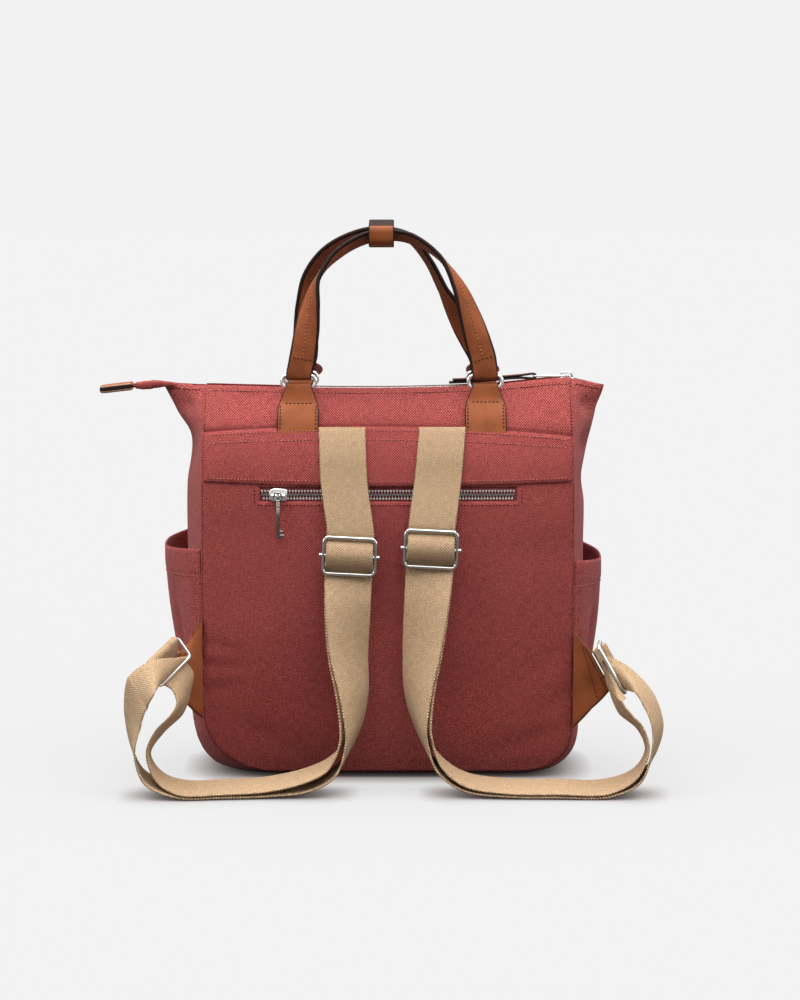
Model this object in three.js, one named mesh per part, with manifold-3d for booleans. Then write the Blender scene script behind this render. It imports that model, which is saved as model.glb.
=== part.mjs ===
// Fabric backpack standing on its base, seen from the strap side.
// Millimetres, +Z up. The strap side faces -Y, and +X is on the right when looking at it.
// The origin is on the floor, in the middle of the flat base.

import * as THREE from "three";
import Module from "manifold-3d";
import { mergeVertices } from "three/addons/utils/BufferGeometryUtils.js";

const wasm = await Module();
wasm.setup();

// Driving sizes

const GAP = 0.3;                // clearance between pieces that touch
const CANVAS = 1.6;             // canvas wall
const LEATHER = 1.8;            // one layer of leather
const WEBBING = 1.6;            // webbing thickness
const WEBBING_WIDTH = 38;
const HALF_WIDTH = 152;         // middle of the bag to its side seams
const FOOT = 6;                 // lower seam of the panels above the floor
const TOP = 320;                // upper edge of the panels in the middle
const CORNER = { left: 52, right: 35 };  // radius of the panels' lower corners
const LIFT_FROM = 275;          // above this level the panels follow the wavy top line
const WING_DROP = 2.8;          // upper edge of the side walls below that of the panels
const BASE_FLAT = 1.7;          // how soon the base flattens from its seams

// One row for each level of the body: half depth at the seams, swell of the panels past
// their seams, and how round the side walls are
const LEVELS = [
  { z: 6, halfDepth: 54, belly: 0, round: 2.0 },
  { z: 22, halfDepth: 56, belly: 2, round: 2.0 },
  { z: 55, halfDepth: 59, belly: 4, round: 2.0 },
  { z: 120, halfDepth: 62, belly: 7, round: 2.0 },
  { z: 190, halfDepth: 61, belly: 6, round: 2.0 },
  { z: 240, halfDepth: 57, belly: 4, round: 1.9 },
  { z: 272, halfDepth: 49, belly: 3, round: 1.7 },
  { z: 298, halfDepth: 33, belly: 2, round: 1.4 },
  { z: 320, halfDepth: 12, belly: 0, round: 1.2 },
];

// How far each side wall stands out past its seams: a narrow waist, then the wing under the zip
const WALL_REACH = {
  left: [
    { z: 6, out: 6 },
    { z: 22, out: 15 },
    { z: 55, out: 14 },
    { z: 120, out: 14 },
    { z: 190, out: 16 },
    { z: 240, out: 16 },
    { z: 265, out: 13.3 },
    { z: 283, out: 13.5 },
    { z: 298, out: 24 },
    { z: 320, out: 36 },
  ],
  right: [
    { z: 6, out: 6 },
    { z: 22, out: 9 },
    { z: 55, out: 10 },
    { z: 120, out: 11 },
    { z: 190, out: 11.5 },
    { z: 225, out: 12 },
    { z: 247, out: 9.5 },
    { z: 268, out: 13.5 },
    { z: 295, out: 20.8 },
    { z: 320, out: 28.5 },
  ],
};

// Soft dents of the side walls under the pinched top: level, place between the back seam (-1)
// and the front seam (1), depth, and spread up the wall and across it
const DENTS = [
  { side: "left", z: 307, t: -0.5, depth: 5, tall: 9, wide: 0.3 },
  { side: "left", z: 268, t: -0.4, depth: 3, tall: 12, wide: 0.35 },
  { side: "left", z: 300, t: 0.5, depth: 4, tall: 12, wide: 0.3 },
  { side: "right", z: 305, t: -0.55, depth: 5, tall: 8, wide: 0.3 },
  { side: "right", z: 274, t: -0.5, depth: 4, tall: 9, wide: 0.3 },
  { side: "right", z: 298, t: 0.5, depth: 4, tall: 12, wide: 0.3 },
];

// Height of the zipped edge from the left side to the right
const TOP_LINE = [
  { x: -186, z: 324.5 },
  { x: -150, z: 323 },
  { x: -20, z: 320.5 },
  { x: 80, z: 323 },
  { x: 150, z: 329 },
  { x: 181, z: 326 },
];

// Levels at which the panels and side walls are drawn
const PANEL_LEVELS = [6, 8, 13, 21, 32, 45, 62, 90, 125, 160, 195, 225, 248, 266, 280, 292, 303, 312, 320];
const PANEL_COLUMNS = 14;
const GUSSET_ACROSS = [-1, -0.75, -0.4, 0, 0.4, 0.75, 1];
const BASE_STEPS = 6;

// Yoke across the back panel
const YOKE = { top: 289, topDrop: 7, topSlant: -2, low: 244, lowRise: 3.5, reach: 0.985 };
const YOKE_GRID = { columns: 16, rows: 4 };

// Zip in the back panel, in a window under the yoke
const WINDOW = { left: -105, right: 106, low: 230.5, high: 243.5 };
const POCKET_TAPE = { margin: 5, thick: 0.8, columns: 14 };
const POCKET_CHAIN = { left: -79, right: 104, mid: 236.5, tall: 6.5, thick: 2.2 };
const POCKET_SLIDER = { x: -89, z: 236.5, long: 17, tall: 11, thick: 2.8, bridge: 1.2, bridgeHigh: 5.4 };
const POCKET_PULL = { eye: 3.4, wire: 0.9, shaft: 1.5, length: 34, bit: 6.4 };

// Zip along the top
const TOP_TAPE = { halfWidth: 9, thick: 0.9, below: 2.8, belowAtTail: 1.2, left: -184, right: 156, tip: 4 };
const TOP_CHAIN = { left: -166, right: 128, wide: 5, tall: 2.2 };
const TOP_SLIDER = { x: 149, long: 14, wide: 9, tall: 2.2, bridge: 0.8, bridgeHigh: 3.9 };
const TOP_LINK = { left: 121.5, right: 148, wide: 8.6, corner: 1.8, wire: 0.7 };
const TOP_PULL = { left: 51, wide: 12, above: 2 };

// Tail of the top zip past the left side wall: centre, height and width of each section
const TAIL = [
  { x: -187.5, z: 323, tall: 5, wide: 9 },
  { x: -194, z: 322.8, tall: 6.6, wide: 12 },
  { x: -202, z: 322, tall: 7, wide: 12 },
  { x: -212, z: 321.8, tall: 5, wide: 11 },
];
const TAIL_TAB = [
  { x: -212.6, z: 321.6, tall: 7, wide: 15 },
  { x: -222, z: 320.6, tall: 7, wide: 16 },
  { x: -234, z: 319.2, tall: 7, wide: 16 },
  { x: -240.5, z: 318.5, tall: 6.4, wide: 12 },
];

// Side pockets: levels of the foot and rim, how far the rim stands off the side wall
const POCKETS = {
  left: { foot: 56, rim: 186, rimRise: 8, standOff: 17 },
  right: { foot: 56, rim: 176.5, rimRise: 6, standOff: 13 },
};
const POCKET_ACROSS = [-0.94, -0.82, -0.62, -0.35, 0, 0.35, 0.62, 0.82, 0.94];
const POCKET_ROWS = 7;

// Handles: rows along each one with the turn of its face away from the arch's plane
const HANDLE = { width: 22, loopWidth: 21, thick: 3.6 };
const HANDLE_BACK = [
  { x: -70.5, y: -25, z: 345, turn: 0 },
  { x: -67, y: -24, z: 366, turn: 15 },
  { x: -63, y: -22, z: 390, turn: 50 },
  { x: -57.5, y: -20, z: 411, turn: 85 },
  { x: -41.5, y: -17, z: 431, turn: 106 },
  { x: -20, y: -14, z: 443.5, turn: 111 },
  { x: -5.5, y: -13, z: 446.5, turn: 111 },
  { x: 18.5, y: -14, z: 444, turn: 109 },
  { x: 42.5, y: -17, z: 428.5, turn: 95 },
  { x: 58, y: -20, z: 405, turn: 65 },
  { x: 67.5, y: -22, z: 380, turn: 35 },
  { x: 74, y: -24, z: 360, turn: 10 },
  { x: 78.5, y: -25, z: 345, turn: 0 },
];
const HANDLE_FRONT = [
  { x: -70.5, y: 25, z: 345, turn: 0 },
  { x: -69.5, y: 24, z: 364, turn: -20 },
  { x: -69, y: 22, z: 390, turn: -45 },
  { x: -65, y: 20, z: 413, turn: -60 },
  { x: -51, y: 17, z: 433.5, turn: -72 },
  { x: -26, y: 14, z: 447, turn: -75 },
  { x: -5.5, y: 13, z: 450, turn: -75 },
  { x: 17.5, y: 14, z: 444.5, turn: -74 },
  { x: 33.5, y: 17, z: 425.5, turn: -78 },
  { x: 46.5, y: 20, z: 400.5, turn: -73 },
  { x: 60, y: 22, z: 376, turn: -42 },
  { x: 71.5, y: 24, z: 358, turn: -10 },
  { x: 78.5, y: 25, z: 345, turn: 0 },
];
const HANDLE_RING = { wide: 27.4, tall: 9.4, corner: 3.8, wire: 1.6, depth: 23.5, z: 326.5 };
const TAB = { width: 34, loopWidth: 21.6, foot: 290, shoulder: 306, tuck: 297 };
const TAB_X = { left: -73.6, right: 80.3 };
const PATCH = { wide: 28.5, tall: 14, thick: 2, z: 333.5 };
const PATCH_X = { left: -69.6, right: 80 };

// Keeper round both handles: corners of its outer outline, near side to far side
const KEEPER = { left: -15.8, right: 5, wall: 1.8 };
const KEEPER_OUTLINE = [
  { y: -27.5, z: 438.5 },
  { y: -3, z: 436 },
  { y: 27.5, z: 443 },
  { y: 27.5, z: 460 },
  { y: -27.5, z: 454 },
];

// Sliders on the shoulder straps
const SLIDER = { wide: 42, tall: 29.5, corner: 4, wire: 1.5, pin: 24.5 };
const SLIDERS = {
  left: { x: -31, y: -79, z: 188.4, tilt: -3 },
  right: { x: 35, y: -79, z: 194.2, tilt: -3 },
};

// Shoulder straps. "out" is the distance from the middle of the bag, the edge that starts on
// the outer side turns towards the viewer, and "apart" is the space between the two layers.
const STRAP_ROOT = { left: { out: 37.5, lean: 2 }, right: { out: 45, lean: 4.5 } };
const STRAP_RUN = {
  left: [
    { out: 32, y: -85, z: 150, turn: 15, tip: 0, apart: 2.6 },
    { out: 31, y: -92, z: 110, turn: 38, tip: 0, apart: 3 },
    { out: 26.5, y: -100, z: 76, turn: 56, tip: 3, apart: 4 },
    { out: 28, y: -106, z: 46, turn: 74, tip: 6, apart: 5 },
    { out: 40, y: -109, z: 20, turn: 85, tip: 7, apart: 8 },
    { out: 62, y: -110, z: 8, turn: 89, tip: 6, apart: 8 },
    { out: 96, y: -111, z: 4.1, turn: 90, tip: 6, apart: 4 },
    { out: 132, y: -114, z: 3.7, turn: 90, tip: 6, apart: 2.6 },
    { out: 166, y: -117, z: 4.2, turn: 90, tip: 6, apart: 2.6 },
  ],
  right: [
    { out: 31.5, y: -85, z: 152, turn: 18, tip: 0, apart: 2.6 },
    { out: 27.5, y: -92, z: 114, turn: 37, tip: 0, apart: 2.6 },
    { out: 24, y: -99, z: 80, turn: 56, tip: 3, apart: 3 },
    { out: 26, y: -105, z: 52, turn: 74, tip: 6, apart: 4 },
    { out: 38, y: -109, z: 24, turn: 85, tip: 7, apart: 5 },
    { out: 60, y: -110, z: 8.5, turn: 89, tip: 6, apart: 4 },
    { out: 95, y: -112, z: 4.1, turn: 90, tip: 6, apart: 2.6 },
    { out: 135, y: -113, z: 3.7, turn: 90, tip: 6, apart: 2.6 },
    { out: 176, y: -114, z: 4.2, turn: 90, tip: 6, apart: 2.6 },
  ],
};
const STRAP_OUTER_LOOP = {
  left: [
    { out: 194, y: -115, z: 14, turn: 93, tip: 2 },
    { out: 203.3, y: -116, z: 35.3, turn: 98, tip: -7 },
    { out: 203.8, y: -117, z: 62.3, turn: 116, tip: 12 },
    { out: 198.6, y: -123, z: 85, turn: 124, tip: 32 },
    { out: 186.8, y: -125.5, z: 97.5, turn: 102, tip: 33 },
    { out: 177, y: -107, z: 99, turn: 72, tip: 28 },
  ],
  right: [
    { out: 202, y: -112.5, z: 13, turn: 94, tip: 0 },
    { out: 213, y: -110.5, z: 31, turn: 102, tip: -5 },
    { out: 217, y: -107, z: 54, turn: 109, tip: -5 },
    { out: 210, y: -101, z: 75, turn: 109, tip: 2 },
    { out: 199, y: -94, z: 88.5, turn: 95, tip: 14 },
    { out: 189, y: -85.5, z: 93, turn: 52, tip: 45 },
  ],
};
const STRAP_INNER_LOOP = {
  left: [
    { out: 166, y: -89, z: 88, turn: 66, tip: 13 },
    { out: 164.5, y: -93, z: 77, turn: 78, tip: 6 },
    { out: 169, y: -100, z: 64, turn: 82, tip: -11 },
    { out: 184, y: -106, z: 49, turn: 87, tip: -14 },
    { out: 192, y: -110, z: 33, turn: 92, tip: -11 },
    { out: 184, y: -112, z: 15, turn: 90, tip: 0 },
  ],
  right: [
    { out: 183.5, y: -88, z: 85, turn: 58, tip: 30 },
    { out: 184.5, y: -93, z: 76, turn: 82, tip: -2 },
    { out: 191, y: -100, z: 64, turn: 82, tip: -12 },
    { out: 203, y: -106, z: 53, turn: 89, tip: -13 },
    { out: 208.5, y: -110, z: 36, turn: 92, tip: -10 },
    { out: 199, y: -112, z: 17, turn: 92, tip: 0 },
  ],
};

// How the webbing sits on the ring's bar: place along the bar and gathered width
const STRAP_FOLD = { left: { shift: 0, width: 34 }, right: { shift: -4.5, width: 30 } };

// Corner rings: middle of the bar that holds the strap, its direction from the near edge of the
// strap to the far edge, and the direction across to the other bar. First number outwards.
const CORNER_RING = { long: 44, wide: 19, corner: 3, wire: 1.5 };
const CORNER_RINGS = {
  left: { bar: [171.5, -91, 96.5], along: [-0.49, 0.76, 0.42], across: [0.54, -0.1, 0.84] },
  right: { bar: [181.5, -84, 96], along: [-0.49, 0, 0.872], across: [0.15, 0.985, 0.084] },
};
const CORNER_LOOP_WIDTH = 37;

// Leather tabs in the lower side seams: the seam end and the loop end, first number outwards
const CORNER_TABS = {
  left: { seamLow: 52, seamHigh: 135, end: [175, -77, 104], endWidth: 42 },
  right: { seamLow: 44, seamHigh: 124, end: [172, -70, 96], endWidth: 42 },
};

// Materials

const canvas = new THREE.MeshStandardMaterial({ color: 0x8f4a4c, roughness: 0.95, metalness: 0 });
const leather = new THREE.MeshStandardMaterial({ color: 0x9a4f24, roughness: 0.55, metalness: 0 });
const webbing = new THREE.MeshStandardMaterial({ color: 0xcbb287, roughness: 0.9, metalness: 0 });
const zipTape = new THREE.MeshStandardMaterial({ color: 0x6d3337, roughness: 0.9, metalness: 0 });
const nickel = new THREE.MeshStandardMaterial({ color: 0xc9c9c6, roughness: 0.22, metalness: 1 });

// Small helpers

const V = (x, y, z) => new THREE.Vector3(x, y, z);
const radians = THREE.MathUtils.degToRad;
const clamp = THREE.MathUtils.clamp;
const lerp = THREE.MathUtils.lerp;
const sideSign = { left: -1, right: 1 };
const sides = ["left", "right"];

// A smooth curve through two columns of a table
function column(rows, place, name) {
  const xs = rows.map((row) => row[place]);
  const ys = rows.map((row) => row[name]);
  const last = rows.length - 1;
  const slopes = ys.map((_, i) => {
    const before = Math.max(i - 1, 0);
    const after = Math.min(i + 1, last);
    return (ys[after] - ys[before]) / (xs[after] - xs[before]);
  });
  return (x) => {
    const at = clamp(x, xs[0], xs[last]);
    let i = 0;
    while (i < last - 1 && at > xs[i + 1]) i += 1;
    const span = xs[i + 1] - xs[i];
    const t = (at - xs[i]) / span;
    const t2 = t * t;
    const t3 = t2 * t;
    return (2 * t3 - 3 * t2 + 1) * ys[i] + (t3 - 2 * t2 + t) * span * slopes[i]
      + (3 * t2 - 2 * t3) * ys[i + 1] + (t3 - t2) * span * slopes[i + 1];
  };
}

// A closed geometry from points and triangles, turned to face outwards
function closedGeometry(points, triangles) {
  let volume = 0;
  for (const [a, b, c] of triangles) {
    volume += points[a].dot(points[b].clone().cross(points[c]));
  }
  const index = triangles.flatMap(([a, b, c]) => (volume < 0 ? [a, c, b] : [a, b, c]));
  const geometry = new THREE.BufferGeometry();
  const positions = points.flatMap((point) => [point.x, point.y, point.z]);
  geometry.setAttribute("position", new THREE.Float32BufferAttribute(positions, 3));
  geometry.setIndex(index);
  geometry.computeVertexNormals();
  return geometry;
}

// A sheet with thickness: two grids of points, joined round their rims
function gridSolid(front, back) {
  const rows = front.length;
  const columns = front[0].length;
  const points = [...front.flat(), ...back.flat()];
  const half = rows * columns;
  const triangles = [];
  const quad = (a, b, c, d) => triangles.push([a, b, c], [a, c, d]);
  const at = (row, col) => row * columns + col;
  for (let r = 0; r < rows - 1; r += 1) {
    for (let c = 0; c < columns - 1; c += 1) {
      quad(at(r, c), at(r, c + 1), at(r + 1, c + 1), at(r + 1, c));
      quad(half + at(r, c), half + at(r + 1, c), half + at(r + 1, c + 1), half + at(r, c + 1));
    }
    const end = columns - 1;
    quad(at(r, 0), at(r + 1, 0), half + at(r + 1, 0), half + at(r, 0));
    quad(at(r + 1, end), at(r, end), half + at(r, end), half + at(r + 1, end));
  }
  for (let c = 0; c < columns - 1; c += 1) {
    const end = rows - 1;
    quad(at(0, c + 1), at(0, c), half + at(0, c), half + at(0, c + 1));
    quad(at(end, c), at(end, c + 1), half + at(end, c + 1), half + at(end, c));
  }
  return closedGeometry(points, triangles);
}

// The grid moved along its own normals
function offsetGrid(grid, distance) {
  const rows = grid.length;
  const columns = grid[0].length;
  return grid.map((line, r) => line.map((point, c) => {
    const down = grid[Math.min(r + 1, rows - 1)][c].clone().sub(grid[Math.max(r - 1, 0)][c]);
    const across = line[Math.min(c + 1, columns - 1)].clone().sub(line[Math.max(c - 1, 0)]);
    return point.clone().addScaledVector(across.cross(down).normalize(), distance);
  }));
}

// A strap of given thickness through rows of { at, across, width }; "step" is the sample spacing
function ribbon(rows, thickness, step) {
  const curve = new THREE.CatmullRomCurve3(rows.map((row) => row.at), false, "centripetal");
  const samples = [];
  for (let i = 0; i < rows.length - 1; i += 1) {
    const length = rows[i].at.distanceTo(rows[i + 1].at);
    const count = clamp(Math.round(length / step), 1, 5);
    for (let k = 0; k < count; k += 1) samples.push(i + k / count);
  }
  samples.push(rows.length - 1);
  const front = [];
  const back = [];
  for (const place of samples) {
    const i = Math.min(Math.floor(place), rows.length - 2);
    const f = place - i;
    const middle = curve.getPoint(place / (rows.length - 1));
    const tangent = curve.getTangent(place / (rows.length - 1));
    const across = rows[i].across.clone().lerp(rows[i + 1].across, f).normalize();
    const normal = tangent.clone().cross(across).normalize();
    const half = lerp(rows[i].width, rows[i + 1].width, f) / 2;
    const thick = lerp(rows[i].thick ?? thickness, rows[i + 1].thick ?? thickness, f) / 2;
    const edge = (side, face) => middle.clone().addScaledVector(across, side * half)
      .addScaledVector(normal, face * thick);
    front.push([edge(-1, 1), edge(1, 1)]);
    back.push([edge(-1, -1), edge(1, -1)]);
  }
  return gridSolid(front, back);
}

// A wire bent round a closed path of points that lies in one plane
function wireLoop(path, normal, radius, sideCount = 6) {
  const points = [];
  const triangles = [];
  const count = path.length;
  path.forEach((middle, i) => {
    const along = path[(i + 1) % count].clone().sub(path[(i + count - 1) % count]).normalize();
    const outward = along.clone().cross(normal).normalize();
    for (let k = 0; k < sideCount; k += 1) {
      const angle = (k + 0.5) / sideCount * 2 * Math.PI;
      points.push(middle.clone().addScaledVector(outward, radius * Math.cos(angle))
        .addScaledVector(normal, radius * Math.sin(angle)));
    }
  });
  for (let i = 0; i < count; i += 1) {
    for (let k = 0; k < sideCount; k += 1) {
      const a = i * sideCount + k;
      const b = i * sideCount + (k + 1) % sideCount;
      const c = (i + 1) % count * sideCount + (k + 1) % sideCount;
      const d = (i + 1) % count * sideCount + k;
      triangles.push([a, b, c], [a, c, d]);
    }
  }
  return closedGeometry(points, triangles);
}

// Rounded rectangle in the plane of two directions, as points along its middle line
function roundedPath(middle, right, up, wide, tall, corner, arcSteps = 3) {
  const path = [];
  const corners = [[1, 1, 0], [-1, 1, 90], [-1, -1, 180], [1, -1, 270]];
  for (const [sx, sy, start] of corners) {
    for (let k = 0; k <= arcSteps; k += 1) {
      const angle = radians(start + k * 90 / arcSteps);
      const x = sx * (wide / 2 - corner) + corner * Math.cos(angle);
      const y = sy * (tall / 2 - corner) + corner * Math.sin(angle);
      path.push(middle.clone().addScaledVector(right, x).addScaledVector(up, y));
    }
  }
  return path;
}

// A box with its sides along the axes
function box(low, high) {
  const geometry = new THREE.BoxGeometry(high.x - low.x, high.y - low.y, high.z - low.z);
  geometry.translate((low.x + high.x) / 2, (low.y + high.y) / 2, (low.z + high.z) / 2);
  return geometry;
}

// A round bar between two points
function bar(from, to, radius, sideCount = 10) {
  const length = from.distanceTo(to);
  const geometry = new THREE.CylinderGeometry(radius, radius, length, sideCount);
  const turn = new THREE.Quaternion().setFromUnitVectors(V(0, 1, 0), to.clone().sub(from).normalize());
  geometry.applyQuaternion(turn);
  const middle = from.clone().add(to).multiplyScalar(0.5);
  geometry.translate(middle.x, middle.y, middle.z);
  return geometry;
}

// Boolean work on closed geometries
function toManifold(geometry) {
  const bare = geometry.clone();
  bare.deleteAttribute("normal");
  bare.deleteAttribute("uv");
  const merged = mergeVertices(bare, 1e-4);
  return new wasm.Manifold(new wasm.Mesh({
    numProp: 3,
    vertProperties: new Float32Array(merged.attributes.position.array),
    triVerts: new Uint32Array(merged.index.array),
  }));
}

function fromManifold(solid) {
  const mesh = solid.getMesh();
  const geometry = new THREE.BufferGeometry();
  const positions = [];
  for (let i = 0; i < mesh.vertProperties.length; i += mesh.numProp) {
    positions.push(mesh.vertProperties[i], mesh.vertProperties[i + 1], mesh.vertProperties[i + 2]);
  }
  geometry.setAttribute("position", new THREE.Float32BufferAttribute(positions, 3));
  geometry.setIndex(Array.from(mesh.triVerts));
  geometry.computeVertexNormals();
  return geometry;
}

function join(...geometries) {
  return fromManifold(geometries.map(toManifold).reduce((all, next) => all.add(next)));
}

function cut(geometry, tool) {
  return fromManifold(toManifold(geometry).subtract(toManifold(tool)));
}

// Shape of the body

const halfDepth = column(LEVELS, "z", "halfDepth");
const belly = column(LEVELS, "z", "belly");
const round = column(LEVELS, "z", "round");
const standOut = { left: column(WALL_REACH.left, "z", "out"), right: column(WALL_REACH.right, "z", "out") };
const topLine = column(TOP_LINE, "x", "z");

function lift(x, z) {
  return (topLine(x) - TOP) * clamp((z - LIFT_FROM) / (TOP - LIFT_FROM), 0, 1);
}

// Distance from the middle to the side seam at a level
function seamX(z, side) {
  const radius = CORNER[side];
  const below = Math.max(0, FOOT + radius - z);
  return HALF_WIDTH - radius + Math.sqrt(Math.max(0, radius * radius - below * below));
}

// Outer face of a panel; "facing" is -1 for the back and 1 for the front
function panelPoint(x, z, facing) {
  const u = x / seamX(z, x < 0 ? "left" : "right");
  return V(x, facing * (halfDepth(z) + belly(z) * (1 - u * u)), z + lift(x, z));
}

function panelNormal(x, z, facing) {
  const across = panelPoint(x + 1, z, facing).sub(panelPoint(x - 1, z, facing));
  const up = panelPoint(x, z + 1, facing).sub(panelPoint(x, z - 1, facing));
  const normal = across.cross(up).normalize();
  return normal.y * facing > 0 ? normal : normal.negate();
}

// A point held off the outer face of a panel
function offPanel(x, z, facing, distance) {
  return panelPoint(x, z, facing).addScaledVector(panelNormal(x, z, facing), distance);
}

function panel(facing) {
  const outer = PANEL_LEVELS.map((z) => {
    const left = -seamX(z, "left");
    const right = seamX(z, "right");
    return Array.from({ length: PANEL_COLUMNS + 1 }, (_, c) =>
      panelPoint(lerp(left, right, c / PANEL_COLUMNS), z, facing));
  });
  return gridSolid(outer, offsetGrid(outer, facing * CANVAS));
}

function backPanel() {
  const window = box(V(WINDOW.left, -90, WINDOW.low), V(WINDOW.right, -30, WINDOW.high));
  return cut(panel(-1), window);
}

// Side walls and base: stations along the seam, from the upper left round to the upper right
function gussetStations() {
  const stations = [];
  const wall = (z, side) => {
    const sign = sideSign[side];
    const x = seamX(z, side);
    const radius = CORNER[side];
    const outward = z >= FOOT + radius
      ? V(sign, 0, 0)
      : V(sign * (x - HALF_WIDTH + radius), 0, z - FOOT - radius).divideScalar(radius);
    const flat = lerp(BASE_FLAT, 1, clamp((z - FOOT) / radius, 0, 1));
    return { x: sign * x, z, outward, out: standOut[side](z), flat, side };
  };
  const levels = PANEL_LEVELS.map((z) => (z === TOP ? TOP - WING_DROP : z));
  for (const z of [...levels].reverse()) stations.push(wall(z, "left"));
  const left = stations[stations.length - 1].x;
  const right = seamX(FOOT, "right");
  for (let i = 1; i < BASE_STEPS; i += 1) {
    const x = lerp(left, right, i / BASE_STEPS);
    stations.push({ x, z: FOOT, outward: V(0, 0, -1), out: FOOT, flat: BASE_FLAT });
  }
  for (const z of levels) stations.push(wall(z, "right"));
  return stations;
}

// Depth of the dents at one place of a side wall
function dentDepth(side, z, t) {
  let depth = 0;
  for (const dent of DENTS.filter((row) => row.side === side)) {
    const up = (z - dent.z) / dent.tall;
    const over = (t - dent.t) / dent.wide;
    depth += dent.depth * Math.exp(-up * up - over * over);
  }
  return depth;
}

// Outer face of the side wall; t runs from the back seam (-1) to the front seam (1)
function gussetPoint(station, t) {
  const slope = (halfDepth(station.z + 1) - halfDepth(station.z - 1)) / 2;
  const inset = (CANVAS + GAP) * Math.hypot(1, slope);
  const swell = Math.min(1, station.flat * (1 - Math.abs(t) ** round(station.z)));
  const point = V(station.x, t * (halfDepth(station.z) - inset), station.z);
  const dent = dentDepth(station.side, station.z, t) * (1 - t * t);
  point.addScaledVector(station.outward, station.out * swell - dent);
  point.z += lift(point.x, station.z);
  return point;
}

function gusset() {
  const outer = gussetStations().map((station) => GUSSET_ACROSS.map((t) => gussetPoint(station, t)));
  return gridSolid(outer, offsetGrid(outer, -CANVAS));
}

// Side pocket: a sheet over the side wall that stands off towards its rim
function sidePocket(side) {
  const size = POCKETS[side];
  const sign = sideSign[side];
  const outer = [];
  for (let r = 0; r <= POCKET_ROWS; r += 1) {
    const rise = r / POCKET_ROWS;
    outer.push(POCKET_ACROSS.map((t) => {
      const rim = size.rim + 5 * t * t + size.rimRise * (t + 1) / 2;
      const z = lerp(size.foot, rim, rise);
      const outward = V(sign, 0, 0);
      const station = { x: sign * seamX(z, side), z, outward, out: standOut[side](z), flat: 1 };
      const bag = size.standOff * Math.sin(rise * Math.PI / 2) ** 0.9 * (1 - t * t) ** 0.8;
      return gussetPoint(station, t).addScaledVector(outward, GAP + 1.3 * CANVAS + bag);
    }));
  }
  return gridSolid(outer, offsetGrid(outer, sign * CANVAS));
}

// Yoke

function yokeEdges(u) {
  return {
    top: YOKE.top - YOKE.topDrop * u * u + YOKE.topSlant * u,
    low: YOKE.low + YOKE.lowRise * u * u,
  };
}

function yokeBand() {
  const rows = (distance) => Array.from({ length: YOKE_GRID.rows + 1 }, (_, r) =>
    Array.from({ length: YOKE_GRID.columns + 1 }, (_, c) => {
      const u = lerp(-YOKE.reach, YOKE.reach, c / YOKE_GRID.columns);
      const edges = yokeEdges(u);
      return offPanel(u * HALF_WIDTH, lerp(edges.low, edges.top, r / YOKE_GRID.rows), -1, distance);
    }));
  return gridSolid(rows(2 * GAP + CANVAS), rows(2 * GAP));
}

// Zip in the back panel

function pocketZipTape() {
  const depth = -(CANVAS + 2 * GAP);
  const { margin, columns } = POCKET_TAPE;
  const levels = [WINDOW.low - margin, POCKET_CHAIN.mid, WINDOW.high + margin];
  const rows = (distance) => levels.map((z) => Array.from({ length: columns + 1 }, (_, c) => {
    const x = lerp(WINDOW.left - margin, WINDOW.right + margin, c / columns);
    return offPanel(x, z, -1, distance);
  }));
  return gridSolid(rows(depth), rows(depth - POCKET_TAPE.thick));
}

function pocketZipChain() {
  const back = -(CANVAS + GAP);
  const rows = (distance) => [-0.5, 0.5].map((side) =>
    Array.from({ length: POCKET_TAPE.columns + 1 }, (_, c) => {
      const x = lerp(POCKET_CHAIN.left, POCKET_CHAIN.right, c / POCKET_TAPE.columns);
      return offPanel(x, POCKET_CHAIN.mid + side * POCKET_CHAIN.tall, -1, distance);
    }));
  return gridSolid(rows(back + POCKET_CHAIN.thick), rows(back));
}

// Slider plate with a raised bridge, lying in the XZ plane and facing -Y
function sliderPlate(long, tall, thick) {
  const shape = new THREE.Shape();
  shape.moveTo(-long / 2, -tall * 0.34);
  shape.lineTo(-long / 4, -tall / 2);
  shape.lineTo(long / 2, -tall * 0.4);
  shape.lineTo(long / 2, tall * 0.4);
  shape.lineTo(-long / 4, tall / 2);
  shape.lineTo(-long / 2, tall * 0.34);
  shape.closePath();
  const geometry = new THREE.ExtrudeGeometry(shape, { depth: thick, bevelEnabled: false });
  geometry.rotateX(Math.PI / 2);
  return geometry;
}

function sliderWithBridge(long, tall, thick, wire, high) {
  const top = -(thick + high);
  const span = long * 0.32;
  const inside = -thick / 2;
  const plate = sliderPlate(long, tall, thick);
  const bridge = bar(V(-span - wire, top, 0), V(span + wire, top, 0), wire, 8);
  const legs = [-span, span].map((x) => bar(V(x, inside, 0), V(x, top - wire / 2, 0), wire, 8));
  return join(plate, bridge, ...legs);
}

const pocketSliderFoot = offPanel(POCKET_SLIDER.x, POCKET_SLIDER.z, -1, -CANVAS / 2);
const pullPivot = V(
  POCKET_SLIDER.x,
  pocketSliderFoot.y - POCKET_SLIDER.thick - POCKET_SLIDER.bridgeHigh,
  POCKET_SLIDER.z,
);

function pocketZipSlider() {
  const size = POCKET_SLIDER;
  const geometry = sliderWithBridge(size.long, size.tall, size.thick, size.bridge, size.bridgeHigh);
  geometry.translate(size.x, pocketSliderFoot.y, size.z);
  return geometry;
}

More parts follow.
